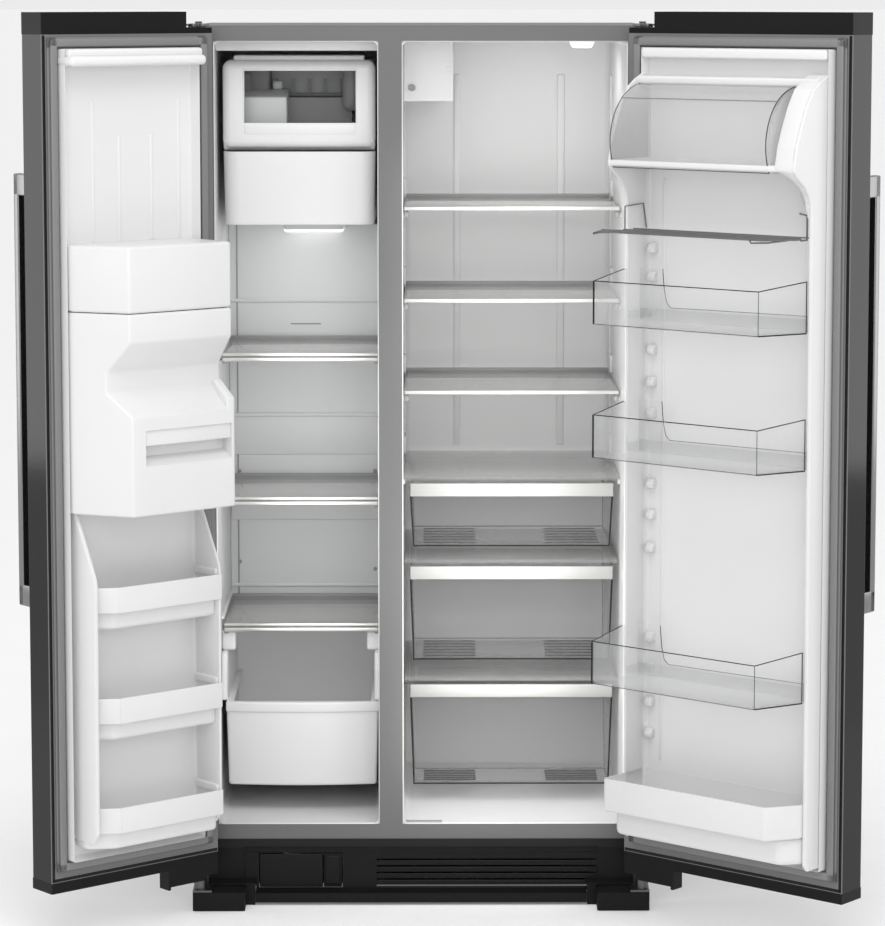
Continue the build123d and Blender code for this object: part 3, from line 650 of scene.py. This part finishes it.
# Glass shelves and their edge strips.
FREEZER_SHELF_X = (-401, -86)
FRIDGE_SHELF_X = (-34, 402)
glass = Piece()
trims = Piece()
carriers = Piece()
for tops, across, depth, strip in (
    (SHELF_TOPS, FREEZER_SHELF_X, (146, 474), (140, 15, 3)),
    (FRIDGE_TOPS, FRIDGE_SHELF_X, (189, 590), (184, 9, 2)),
):
    front, drop, lift = strip
    for top in tops:
        glass.block(across, depth, (top - 5, top), 0.8, 2)
        if drop > 10:
            trims.block(across, (front - 1.5, front + 6), (top - 4, top + lift), 2.6)
            trims.block(across, (front - 3, front + 5), (top - 15, top - 5.5), 3.6)
            carriers.block(across, (front + 3, front + 12), (top - 13, top + 1), 2)
        else:
            trims.block(across, (front, front + 4), (top - 5.5, top + lift), 1.6)
        carriers.block(across, (depth[1] - 6, depth[1] + 2), (top - 9, top + 5), 2.5)
        for end, side in ends(across):
            bar = between(end, end + 5 * side)
            carriers.block(bar, (front + 6, depth[1] - 2), (top - 8, top - 4.5), 1)
            hook_side = ((7, -8), (34, -8), (12, -20), (7, -20))
            carriers.prism([(end, front + y, top + z) for y, z in hook_side], (9 * side, 0, 0), 2)
glass.finish("shelf_glass_plates", "cabinet", "shelf_glass", ["glass_shelves"])
trims.finish("shelf_edge_strips", "cabinet", "trim_chrome", ["shelf_trims"])
carriers.finish("shelf_carriers", "cabinet", "grey_plastic")


# ------------------------------------------------------------------ ice maker and its bin

shroud = Limits("ice_maker_shroud")
ice_bin = Limits("ice_bin")
cover = Piece()
window_x, window_z = (-351, -128), (1557, 1661)
COVER_TOP = 1681
CHIN_Z = 1521  # where the cover's face turns back towards the bin
CHIN_FOOT = ice_bin.z[1] + 1
face_y = shroud.y[0]
cover.hollow(shroud.x, shroud.y, (CHIN_Z - 14, COVER_TOP), 3, 17, 5, (window_x, window_z))
cover.block(grow(window_x, 2), (face_y - 1, face_y + 26), (window_z[0] - 26, window_z[0] - 1), 6, 4)
for side_x in (window_x[0] - 2, window_x[1] - 1):
    cover.block((side_x, side_x + 3), (face_y - 0.8, face_y + 30), grow(window_z, 2), 1.2)
cover.block(grow(window_x, 2), (face_y - 0.8, face_y + 30), (window_z[1] - 1, window_z[1] + 3), 1.2)
cover.block(grow(shroud.x, -22), (face_y + 18, shroud.y[1] - 60), (COVER_TOP - 2, COVER_TOP + 9), 3)
chin_back = shroud.y[1] - 40
chin = ((face_y + 0.5, CHIN_Z + 2), (face_y + 24, CHIN_FOOT), (chin_back, CHIN_FOOT), (chin_back, CHIN_Z + 2))
cover.prism([(shroud.x[0] + 1, *point) for point in chin], (size(shroud.x) - 2, 0, 0), 5)
cover.finish("ice_maker_cover", "cabinet", "moulded_white", ["ice_maker_shroud"])

works = Piece()
works.block((-360, -306), (250, 340), (1612, 1676), 6)
works.block((-268, -124), (296, 332), (1548, 1572), 3)
works.block((-158, -122), (190, 330), (1576, 1676), 16, 5)
works.finish("ice_maker_works", "cabinet", "grey_plastic")
mould = Piece()
mould.block((-312, -124), (332, 338), (1552, 1676), 3)
mould.prism([(-360, 150, 1552), (-360, 150, 1606), (-360, 230, 1618), (-360, 330, 1618), (-360, 330, 1552)],
            (92, 0, 0), 4)
mould.block((-300, -280), (240, 256), (1618, 1636), 5)
mould.finish("ice_maker_tray", "cabinet", "panel_white")

bin_piece = Piece()
bin_front, bin_top = ice_bin.y[0], ice_bin.z[1]
bin_piece.tray(oblong(ice_bin.x, ice_bin.y, bin_top), ice_bin.z[0], 3, 8, 3, 30, 4)
bin_piece.block(grow(ice_bin.x, -24), (bin_front + 1, bin_front + 10), (bin_top - 8, bin_top), 3)
bin_piece.finish("ice_bin_moulding", "ice_bin", "moulded_white", ["ice_bin"])
tab = Piece()
tab.block((-282, -158), (300, 470), (1322, 1352), 8)
tab.finish("ice_outlet_tab", "cabinet", "moulded_white")


# ------------------------------------------------------------------ freezer basket

basket = Limits("freezer_basket")
BASKET_BOW = 12  # how far the basket's front bows forward
BASKET_BACK_Z = 478


def bowed(x, y, bow, top, steps=10):
    """An outline at a height whose front edge bows forward."""
    front = []
    for step in range(steps + 1):
        along = step / steps
        front.append((x[0] + size(x) * along, y[0] + bow * (1 - 4 * along * (1 - along)), top))
    return [(x[1], y[1], top), (x[0], y[1], top), *front]


basket_piece = Piece()
(x_left, x_right), (y_near, y_far), (z_foot, z_top) = basket.x, basket.y, basket.z
front_edge = bowed(basket.x, (y_near + 3, y_far), BASKET_BOW, z_top - 2)[2:]
high = [(x_right, y_near + 40, BASKET_BACK_Z - 4), (x_right, y_far, BASKET_BACK_Z),
        (x_left, y_far, BASKET_BACK_Z), (x_left, y_near + 40, BASKET_BACK_Z - 4)]
basket_piece.tray(high + front_edge, z_foot, 3, 6, 5)
for vent in range(5):
    vent_x = mid(basket.x) - 26 + 11 * vent
    basket_piece.block((vent_x, vent_x + 7), (y_far - 5, y_far - 2), (z_foot + 60, z_foot + 66), 1)
basket_piece.prism(bowed(basket.x, (y_near, y_near + 20), BASKET_BOW, z_top - 21), (0, 0, 21), 3)
for end, side in ends(basket.x):
    basket_piece.block(between(end, end + 16 * side), grow(basket.y, -20), (z_top - 5, z_top), 2)
basket_piece.finish("freezer_basket_moulding", "freezer_basket", "moulded_white", ["freezer_basket"])
guides = Piece()
GUIDE_TOP = 482
for end, side in ends(grow(freezer.x, -WALL)):
    lug = ((150, 522), (200, 522), (200, GUIDE_TOP), (150, GUIDE_TOP))
    guides.prism([(end, *point) for point in lug], (28 * side, 0, 0), 5)
    rail = ((130, GUIDE_TOP), (470, GUIDE_TOP), (470, 388), (104, 388))
    guides.prism([(end, *point) for point in rail], (12 * side, 0, 0), 4)
guides.finish("basket_guides", "cabinet", "moulded_white")
vents = Piece()
for number in range(9):
    at_x = -372 + 32 * number
    vents.block((at_x, at_x + 18), (300, 470), (190, 208), 4)
vents.finish("freezer_floor_vents", "cabinet", "grey_plastic")


# ------------------------------------------------------------------ fridge controls, light and crispers

control = Limits("control_housing")
controls = Piece()
controls.block(control.x, control.y, control.z, 5, 4)
face_y = control.y[0]
for number in range(3):
    slot_z = 1652 + 9 * number
    slot_x = (control.x[1] - 14, control.x[1] - 6)
    controls.block(slot_x, (face_y - 0.6, face_y + 1), (slot_z, slot_z + 4), 0.4)
controls.finish("control_cover", "cabinet", "moulded_white", ["control_housing"])
SCREW_Z = 1623
screw = Piece()
screw.rod((-18, face_y - 3, SCREW_Z), (-18, face_y + 1, SCREW_Z), 7, soft=1)
for edge_z in grow((SCREW_Z, SCREW_Z), 3):
    screw.block((-25, -11), (face_y - 3.6, face_y - 2), grow((edge_z, edge_z), 1), 0.3)
screw.finish("control_screw", "cabinet", "grey_plastic")

lamps = Piece()
lamps.rod((328, 280, 1720), (328, 280, 1702), 28, 20, 36, 4)
lamps.block((-272, -168), (440, 479.5), (1314, 1332), 5)
lamps.finish("light_covers", "cabinet", "frosted", ["light_lenses"])

deck = Piece()
deck_frames = Piece()
CRISPER_LEAN = 8  # how far a drawer's foot is drawn in at its sides
CRISPERS = (("upper", 821.0, 130.0), ("middle", 650.0, 160.0), ("lower", 405.0, 205.0))
for which, top, back_lean in CRISPERS:  # the top, and how far the foot is drawn in at its back
    node = f"crisper_{which}"
    body = Limits(node)
    deck.block(FRIDGE_SHELF_X, (190, 600), (top + 5.5, top + 10.5), 1.5, 2)
    deck_frames.block(FRIDGE_SHELF_X, (184, 192), (top + 5, top + 11.5), 2)
    for end, side in ends(FRIDGE_SHELF_X):
        deck_frames.block(between(end, end + 9 * side), (186, 600), (top + 2, top + 9), 2)
    (x_left, x_right), (y_near, y_far), (z_foot, z_top) = body.x, body.y, body.z
    drawer = Piece()
    drawer.tray(oblong(body.x, body.y, z_top), z_foot, WALL, 6, CRISPER_LEAN, back_lean=back_lean)
    for end, side in ends(body.x):
        drawer.block(between(end, end + 10 * side), grow(body.y, -4), (z_top - 5, z_top - 1), 1.5)
    drawer.finish(f"{node}_bowl", node, "clear_plastic", [node])
    # Dark lines along the drawer's rims, corners and floor ribs: painted shade where the clear plastic is seen
    # edge-on.
    edges = Piece()
    foot_x = grow(body.x, -CRISPER_LEAN)
    foot_far = y_far - back_lean
    for top_y, foot_y, thick in ((y_near - 0.6, y_near + 1.6, 2.0), (y_far + 0.6, foot_far, 1.3)):
        edges.wire(
            [(x_left + 1, top_y, z_top - 8), (foot_x[0], foot_y, z_foot + 1), (foot_x[1], foot_y, z_foot + 1),
             (x_right - 1, top_y, z_top - 8)], thick,
        )
    for at_x in foot_x:
        edges.wire([(at_x, y_near + 1.6, z_foot + 1), (at_x, foot_far, z_foot + 1)], 1.4)
    for number in range(6):
        rib_y = y_near + 22 + (foot_far - y_near - 40) / 6 * number
        for rib_x in ((x_left + 28, mid(body.x) - 72), (mid(body.x) + 72, x_right - 28)):
            edges.block(rib_x, (rib_y, rib_y + 5), (z_foot + 3, z_foot + 5), 0.8)
    edges.finish(f"{node}_edges", node, "grey_plastic", material=EDGE_SHADE_BLACK)
    trim_box = Limits(f"crisper_trim_{which}")
    strip = Piece()
    strip.block(trim_box.x, trim_box.y, trim_box.z, 2.2, 3)
    strip.block(grow(trim_box.x, -3), (trim_box.y[1] - 4, trim_box.y[1] + 3), grow(trim_box.z, -3), 1)
    strip.finish(f"crisper_strip_{which}", node, "trim_steel", [f"crisper_trim_{which}"])
strip = Piece()
floor_z = fridge.z[0] + WALL
strip.block((FRIDGE_SHELF_X[0], 42), (4, 20), (floor_z - 1, floor_z + 4), 1.5)
strip.finish("fridge_floor_strip", "cabinet", "grey_plastic")
deck.finish("crisper_glass", "cabinet", "shelf_glass", ["crisper_covers"])
deck_frames.finish("crisper_frames", "cabinet", "clear_plastic")


# ------------------------------------------------------------------ freezer door


def seal(door, node, name):
    """A magnetic seal: a flat foot, a bellows and a round-nosed magnet bead, in a frame."""
    box = Limits(node, door.place)
    piece = Piece()
    for inset, wide, depth, soft in (
        (0, 20, (INNER_FACE_Y, -8.5), 1.5), (5, 12, (-9, -5), 1.8), (2.5, 15, (-5.5, -0.5), 2.4),
    ):
        ends_x = (box.x[0] + inset, box.x[1] - inset)
        ends_z = (box.z[0] + inset, box.z[1] - inset)
        for edge in ((ends_x[0], ends_x[0] + wide), (ends_x[1] - wide, ends_x[1])):
            piece.block(edge, depth, ends_z, soft)
        for edge in ((ends_z[0], ends_z[0] + wide), (ends_z[1] - wide, ends_z[1])):
            piece.block(ends_x, depth, edge, soft)
    door.finish(piece, name, "gasket_grey", [node])
    lines = Piece()
    ends_x, ends_z = grow(door.box.x, -1.5), grow(door.box.z, -1.5)
    free = (ends_x[0], ends_x[0] + 6) if door.side > 0 else (ends_x[1] - 6, ends_x[1])
    line_y = (INNER_FACE_Y - 0.6, INNER_FACE_Y + 0.8)
    lines.block(free, line_y, ends_z, 0.5)
    lines.block(ends_x, line_y, (ends_z[0], ends_z[0] + 6), 0.5)
    door.finish(lines, f"{name}_border", "door_gloss")


seal(freezer_door, "freezer_gasket", "freezer_seal")
seal(fridge_door, "fridge_gasket", "fridge_seal")

LINER_Z = (164.0, 1709.5)
DISH = 26  # how deep a lining's plug is dished
PLUG_Y = 20


def door_lining(piece, door, far):
    """A moulded door lining: a flange at its hinge edge and a dished plug."""
    piece.block(door.span(38, 54), (INNER_FACE_Y, -1.5), LINER_Z, 1.5)
    plug = boxed(door.span(52, far), (INNER_FACE_Y, PLUG_Y), LINER_Z)
    front = [face for face in plug.faces if face.calc_center_median().y > PLUG_Y - 0.1]
    bmesh.ops.inset_region(plug, faces=front, thickness=9.0)
    bmesh.ops.translate(plug, vec=(0, -DISH, 0), verts=[vert for face in front for vert in face.verts])
    soften(plug, 4.0, 4)
    piece.take(plug)


lining = Piece()
door_lining(lining, freezer_door, 360)
lining.block(freezer_door.span(52, 358), (-10, 30), (1693, 1709), 5, 4)
lining.block(freezer_door.span(52, 362), (-10, 44), (1677, 1696), 8, 5)
for groove, top in ((284, 1611), (224, 1545), (150, 1545), (86, 1611)):
    lining.block(freezer_door.span(groove - 3, groove + 3), (-8, -4.6), (1344, top), 1.6)
cheek = [(-9, 205), (58, 205), (74, 226), (76, 700), (74, 716), (30, 800), (10, 838), (-9, 838)]
for near, far in ((52, 57), (338, 346)):
    freezer_door.cheek(lining, near, far, cheek, 2)
BIN_TOPS = (696.0, 483.0, 271.0)
RIM, POUCH = 49.0, 34  # the heights of a bin's rim and of its body under that
for top in BIN_TOPS:
    foot = top - RIM - POUCH
    plan = freezer_door.plan([(54, -9), (54, 62), (294, 62), (342, 30), (342, -9)])
    lining.prism([(*point, foot) for point in plan], (0, 0, POUCH + 8), 9, 4)
freezer_door.finish(lining, "freezer_door_lining", "liner_white", ["freezer_door_liner"])

rims = Piece()
for top in BIN_TOPS:
    outline = [(52, -6), (52, 78), (292, 78), (338, 48), (338, -6)]
    inner = [(56, -6), (56, 74), (291, 74), (334, 46), (334, -6)]
    for first in range(1, 4):
        wall = [outline[first - 1], outline[first], inner[first], inner[first - 1]]
        rims.prism([(*point, top - RIM) for point in freezer_door.plan(wall)], (0, 0, RIM), 1.2)
    rims.prism([(*point, top - RIM) for point in freezer_door.plan(inner)], (0, 0, 5), 1.2)
    rims.block(freezer_door.span(54, 62), (0, 70), (top - 6, top + 10), 3)
freezer_door.finish(rims, "freezer_door_rails", "moulded_white")


# The cover over the ice chute and dispenser: its front steps back under a slope, and comes forward again.
COVER_BACK = -10
COVER_CORNER, COVER_FAR = 298, 356
CORNER_DRIFT = 0.547  # how far the corner moves out for each step that the front moves back


def cover_ring(front, height, near):
    """The cover's outline at a height, where its front stands at a depth and starts at a distance across."""
    corner = COVER_CORNER + (130 - front) * CORNER_DRIFT
    outline = [(near, COVER_BACK), (near, front), (corner, front), (COVER_FAR, 24), (COVER_FAR, COVER_BACK)]
    return [(*point, height) for point in freezer_door.plan(outline)]


housing = Piece()
housing.loft([cover_ring(130, 1219, 62), cover_ring(130, 1344, 62)], 6, 4, None, WALL, (COVER_BACK, 1219))
grip_x = freezer_door.span(67, 266)
housing.loft(
    [cover_ring(134, 836, 58), cover_ring(134, 1024, 58), cover_ring(86, 1068, 58), cover_ring(86, 1108, 60),
     cover_ring(130, 1164, 62), cover_ring(130, 1218, 62)],
    5, 4, (grip_x, (930, 998), 134, 30, 16), WALL, (COVER_BACK, 1218),
)
housing.block(grow(grip_x, 1), (112, 130.5), (968, 1000), 3)
freezer_door.cheek(housing, 59, 78, [(80, 1080), (90, 1078), (134, 1046), (134, 1018), (80, 1060)], 3)
freezer_door.finish(housing, "ice_chute_cover", "moulded_white", ["ice_chute"])


# ------------------------------------------------------------------ fridge door

lining = Piece()
door_lining(lining, fridge_door, 480)
CHEEK = [(-9, 172), (50, 172), (60, 184), (62, 1400), (64, 1424), (70, 1440), (84, 1458), (108, 1474)]
CROWN = [
    (121, 1488), (121, 1500), (113, 1535), (100, 1567), (82, 1605), (60, 1637), (40, 1650), (14, 1662), (-9, 1664),
]
fridge_door.cheek(lining, 51, 56, CHEEK + CROWN)
fridge_door.cheek(lining, 470, 478, CHEEK + CROWN)
broad = [(-9, 1484), (20, 1484), (36, 1484), (50, 1484), (64, 1484), (78, 1485), (92, 1486), (108, 1487)]
slim = [(-9, 1380), (20, 1382), (40, 1386), (62, 1400), (64, 1424), (70, 1440), (84, 1458), (108, 1474)]
lining.loft([
    [(fridge_door.at(across), *point) for point in outline]
    for across, outline in ((432, broad + CROWN), (466, slim + CROWN), (476, slim + CROWN))
], 3)
lining.block(fridge_door.span(52, 440), (-9, 121), (1487, 1499), 4, 4)
lining.block(fridge_door.span(52, 470), (-9, 34), (1640, 1656), 5, 4)
lining.block(fridge_door.span(54, 476), (-9, 20), (1690, 1709), 4)
for height in (1324, 1269, 1198, 1128, 1065, 1003, 866, 805, 740, 563, 501, 435, 373):
    for across in (62, 448):
        nub = ((-8, height - 9), (8, height - 9), (10, height), (4, height + 9), (-8, height + 9))
        fridge_door.cheek(lining, across, across + 16, nub, 2.5)
lining.block(fridge_door.span(90, 96), (-8, -4), (320, 1460), 2)
fridge_door.finish(lining, "fridge_door_lining", "liner_white", ["fridge_door_liner"])

base_bin = Piece()
plan = fridge_door.plan([(52, -8), (52, 126), (430, 126), (470, 66), (470, -8)])
base_bin.tray([(*point, 301) for point in plan], 236, 4, 5)
foot = fridge_door.plan([(54, -8), (54, 92), (440, 92), (470, 56), (470, -8)])
base_bin.prism([(*point, 184) for point in foot], (0, 0, 54), 12, 5)
fridge_door.finish(base_bin, "fridge_door_base_bin", "moulded_white")


def clear_bin(floor, name):
    """A clear door bin: high at its hinge end, low at its back, with a chamfered free end, and dark lines painted
    along its edges as the shade seen in clear plastic edge-on.
    """
    corners = [
        (52, 68, 101), (52, 164, 84), (430, 164, 84), (467, 62, 98), (467, 22, 98), (458, 22, 30), (130, 22, 27),
        (120, 22, 36), (114, 22, 60), (110, 22, 101), (52, 22, 101),
    ]
    rim = [(fridge_door.at(across), depth, floor + top) for across, depth, top in corners]
    bin_piece = Piece()
    bin_piece.tray(rim, floor, 2.4, 3, 2)
    bin_piece.block(fridge_door.span(60, 460), (24, 27), (floor + 1, floor + 24), 1)
    fridge_door.finish(bin_piece, name, "clear_plastic", ["door_bins"], material=BIN_CLEAR)
    # Dark lines along the rim, corners and foot: painted shade for the clear plastic's edges seen edge-on.
    edges = Piece()
    edges.wire(rim[:4], 1.0)
    edges.wire(rim[4:10], 0.7)
    foot = [(x, depth, floor + 2) for x, depth, _ in rim]
    for here, thick in ((1, 1.7), (2, 0.6), (3, 0.9)):
        edges.wire([rim[here], foot[here]], thick)
    edges.wire(foot[1:3], 0.6)
    edges.wire(foot[2:4], 1.3)
    fridge_door.finish(edges, f"{name}_edges", "grey_plastic", material=EDGE_SHADE_BLACK)


clear_bin(1186, "door_bin_upper")
clear_bin(930, "door_bin_middle")
clear_bin(492, "door_bin_lower")

# Can rack: a pair of front wires, end loops and the hooks it hangs from.
RACK_Z = 1364
rack = Piece()


def rack_wire(points, radius):
    """A wire of the rack, through distances across the door, depths and heights over the rack."""
    rack.wire([(fridge_door.at(across), depth, RACK_Z + lift) for across, depth, lift in points], radius)


for depth, lift in ((144, 2), (152, 0)):
    rack_wire([(56, depth, lift), (430, depth, lift), (464, depth - 66, -1)], 2.3)
rack_wire([(57, 172, -3), (60, 160, -1), (110, 150, 1)], 2.4)
rack_wire([(60, 148, -1), (60, 77, -2), (60, 77, 44), (60, 18, 47), (60, 8, 0)], 1.5)
rack_wire([(465, 84, 47), (465, 60, 42), (465, 60, -3), (465, 80, -3)], 2.0)
rack_wire([(400, 152, 0), (408, 158, -6), (436, 146, -5), (452, 104, -2)], 1.8)
for depth in (50, 82, 114):
    rack_wire([(60, depth, 0), (464, depth, 0)], 1.4)
fridge_door.finish(rack, "can_rack_wires", "dark_wire", ["can_rack"])

# Dairy compartment: clear ends and a curved clear lid.
LID_CENTRE, LID_RADIUS = (18, 1534), 108
LID_SWEEP = (-28, 86)
LID_ENDS = (60, 416)
fridge_x = fridge_door.at
panes = Piece()
side_arc = arc(LID_CENTRE, LID_RADIUS - 5, -30, 82, 14)
for near in (57, 420):
    outline = [(-4, 1484), (16, 1484), *side_arc, (-4, 1640)]
    fridge_door.cheek(panes, near, near + 3, outline, 0)
fridge_door.finish(panes, "dairy_ends", "clear_plastic", ["dairy_case"], material=SMOKE)
lid = Piece()
outer = arc(LID_CENTRE, LID_RADIUS, *LID_SWEEP, 20)
inner = arc(LID_CENTRE, LID_RADIUS - 2.5, *reversed(LID_SWEEP), 20)
fridge_door.cheek(lid, *LID_ENDS, [*outer, *inner], 0)
lid.rod(*[(fridge_x(across), 26, 1645) for across in LID_ENDS], 3)
fridge_door.finish(lid, "dairy_lid", "clear_plastic", ["dairy_door"], "dairy_door", SMOKE)
# Dark lines along the lid's curved ends and long edges: painted shade for the clear plastic seen edge-on.
lid_edges = Piece()
rim_arc = arc(LID_CENTRE, LID_RADIUS - 0.5, *LID_SWEEP, 20)
for across in LID_ENDS:
    lid_edges.wire([(fridge_x(across), *point) for point in rim_arc], 0.9)
for y, z in ((88, 1615), (113, 1484)):
    lid_edges.wire([(fridge_x(across), y, z) for across in LID_ENDS], 0.8)
fridge_door.finish(lid_edges, "dairy_lid_edges", "grey_plastic", [], "dairy_door", EDGE_SHADE_BLACK)


# ------------------------------------------------------------------ handles, base and hinges

GRIP_THICK, GRIP_FOOT = 16.4, 41
for door, node, name in (
    (freezer_door, "freezer_handle", "freezer_grip"), (fridge_door, "fridge_handle", "fridge_grip"),
):
    box = Limits(node, door.place)
    bar = Piece()
    bar.block(box.x, (box.y[0], box.y[0] + GRIP_THICK), box.z, 2.6, 4)
    for end in ((box.z[0], box.z[0] + GRIP_FOOT), (box.z[1] - GRIP_FOOT, box.z[1])):
        bar.block(box.x, (box.y[0] + 1, box.y[1]), end, 2.2, 3)
    door.finish(bar, name, "handle_steel", [node])

blades = Piece()
for number in range(6):
    blade_z = 24.5 + 13.4 * number
    blades.block((-89, 353.5), (-8.6, -3), (blade_z, blade_z + 7.4), 2.4, 4)
blades.finish("grille_blades", "cabinet", "black_plastic")
insert = Piece()
for edge_z in ((111, 114.5), (102.5, 104)):
    insert.block((-355, 354), (-9.8, -8), edge_z, 0.7)
for edge_x in (-355, 351):
    insert.block((edge_x, edge_x + 3), (-9.8, -8), (52, 114), 0.7)
insert.finish("grille_insert", "cabinet", "black_plastic")

flap = Limits("filter_cover")
cap = Piece()
cap.block((flap.x[0], -197), (-12, -8), flap.z, 2.5, 4)
cap.block((-195, flap.x[1]), (-10, -8), flap.z, 1.5)
cap.block((-193, -162), (-15, -9), (38, 97), 4, 4)
cap.rod((-256, -9, 68), (-256, 14, 68), 24)
cap.finish("filter_door", "filter_cover", "black_plastic", ["filter_cover"])

plates = Piece()
for side in (-1, 1):
    plates.block(between(side * 402, side * 452.5), (714.4, 716.3), (127, 304), 0.5)
plates.finish("rear_corner_plates", "cabinet", "cabinet_paint")

# A spring round each lower hinge pin: five turns of twelve points each.
PIN_X, PIN_Y = 439.95, -54
COIL_RADIUS, COIL_HIGH, COIL_POINTS = 11, 32, 60
springs = Piece()
for side in (-1, 1):
    coil = []
    for step in range(COIL_POINTS + 1):
        turn = 2 * math.pi * step / 12
        coil.append((
            side * PIN_X + COIL_RADIUS * math.cos(turn), PIN_Y + COIL_RADIUS * math.sin(turn),
            42 + COIL_HIGH * step / COIL_POINTS,
        ))
    springs.wire(coil, 1.6)
springs.finish("hinge_springs", "cabinet", "steel", material=CHROME)


# ------------------------------------------------------------------ dispenser, on the outside of the freezer door

front = Limits("dispenser_panel", FREEZER_DOOR)
panel = Piece()
panel.block(front.x, front.y, front.z, 3, 4)
freezer_door.finish(panel, "dispenser_fascia", "door_gloss", ["dispenser_panel"])
keys = Piece()
for number in range(6):
    key_x = front.x[0] + 18 + 28 * number
    keys.block((key_x, key_x + 16), (front.y[0] - 0.5, front.y[0] + 1), (1236, 1252), 0.4)
freezer_door.finish(keys, "dispenser_touch_pads", "grey_plastic")
tray = Limits("drip_tray", FREEZER_DOOR)
grid = Piece()
for number in range(12):
    bar_x = tray.x[0] + 6 + 15.2 * number
    grid.block((bar_x, bar_x + 6), (tray.y[0] + 4, tray.y[1] - 4), (tray.z[1] - 3, tray.z[1] + 0.4), 1)
freezer_door.finish(grid, "drip_grille", "grey_plastic")


# The doors' skins are gloss outside and grey inside.
for name, place in (("freezer_door_shell", FREEZER_DOOR), ("fridge_door_shell", FRIDGE_DOOR)):
    skins = frame["nodes"][name].data.materials
    skins.clear()
    skins.append(door_skin(f"{name}_skin", place))


# ------------------------------------------------------------------ floor, camera and light

FLOOR_REACH = 400.0
FLOOR_GAP = 0.0008  # keeps the floor just clear of the feet
floor_mesh = bpy.data.meshes.new("floor")
floor_shape = bmesh.new()
bmesh.ops.create_grid(floor_shape, x_segments=1, y_segments=1, size=FLOOR_REACH)
bmesh.ops.translate(floor_shape, vec=(0, 0, -FLOOR_GAP), verts=floor_shape.verts)
floor_shape.to_mesh(floor_mesh)
floor_shape.free()
floor = bpy.data.objects.new("floor", floor_mesh)
floor_mesh.materials.append(
    moulded("floor_white", 0.90, rough=0.7, grain=40.0, Emission_Color=(1, 1, 1, 1), Emission_Strength=0.12)
)
bpy.context.scene.collection.objects.link(floor)

CAMERA_DIP, CAMERA_TURN = 6.33, 0.295  # degrees down, and to the right
scene = bpy.context.scene
camera_data = bpy.data.cameras.new("camera")
camera_data.lens = 131.9
camera_data.shift_y = -0.10
camera_data.clip_end = 2000.0
camera = bpy.data.objects.new("camera", camera_data)
camera.location = (0.0084, -6.6591, 1.8109)
camera.rotation_euler = (math.radians(90 - CAMERA_DIP), 0, math.radians(-CAMERA_TURN))
scene.collection.objects.link(camera)
scene.camera = camera


def lamp(name, place, aim, wide, high, power):
    """A rectangular soft light that points at a place."""
    data = bpy.data.lights.new(name, "AREA")
    data.shape = "RECTANGLE"
    data.size = wide
    data.size_y = high
    data.energy = power
    light = bpy.data.objects.new(name, data)
    light.location = place
    light.visible_camera = False
    light.rotation_euler = (Vector(aim) - Vector(place)).to_track_quat("-Z", "Y").to_euler()
    scene.collection.objects.link(light)


lamp("softbox", (0, -5.2, 2.4), (0, 0.4, 0.9), 2.6, 2.2, 45)
lamp("overhead", (0, -2.5, 4.2), (0, 0.0, 0.8), 3.2, 1.8, 66)
lamp("edge_left", (-2.9, 0.28, 1.42), (-0.7, -0.42, 1.42), 0.8, 1.6, 10)
lamp("edge_right", (2.9, 0.28, 1.42), (0.7, -0.42, 1.42), 0.8, 1.6, 9)
lamp("fridge_ceiling", (0.24, 0.30, 1.70), (0.22, 0.40, 0.9), 0.22, 0.16, 0.6)
lamp("fridge_fill", (0.18, -0.10, 1.15), (0.18, 0.6, 1.12), 0.40, 0.70, 1.5)
lamp("fridge_low", (0.18, -0.10, 0.52), (0.18, 0.6, 0.50), 0.40, 0.56, 1.7)
lamp("freezer_shelf", (-0.24, 0.30, 1.33), (-0.24, 0.46, 0.9), 0.20, 0.16, 0.35)
lamp("freezer_low", (-0.24, -0.10, 0.86), (-0.24, 0.6, 0.80), 0.24, 0.60, 0.6)

world = bpy.data.worlds.new("studio")
world.use_nodes = True
world.node_tree.nodes["Background"].inputs["Color"].default_value = (1, 1, 1, 1)
world.node_tree.nodes["Background"].inputs["Strength"].default_value = 0.84
scene.world = world
scene.view_settings.view_transform = "Standard"
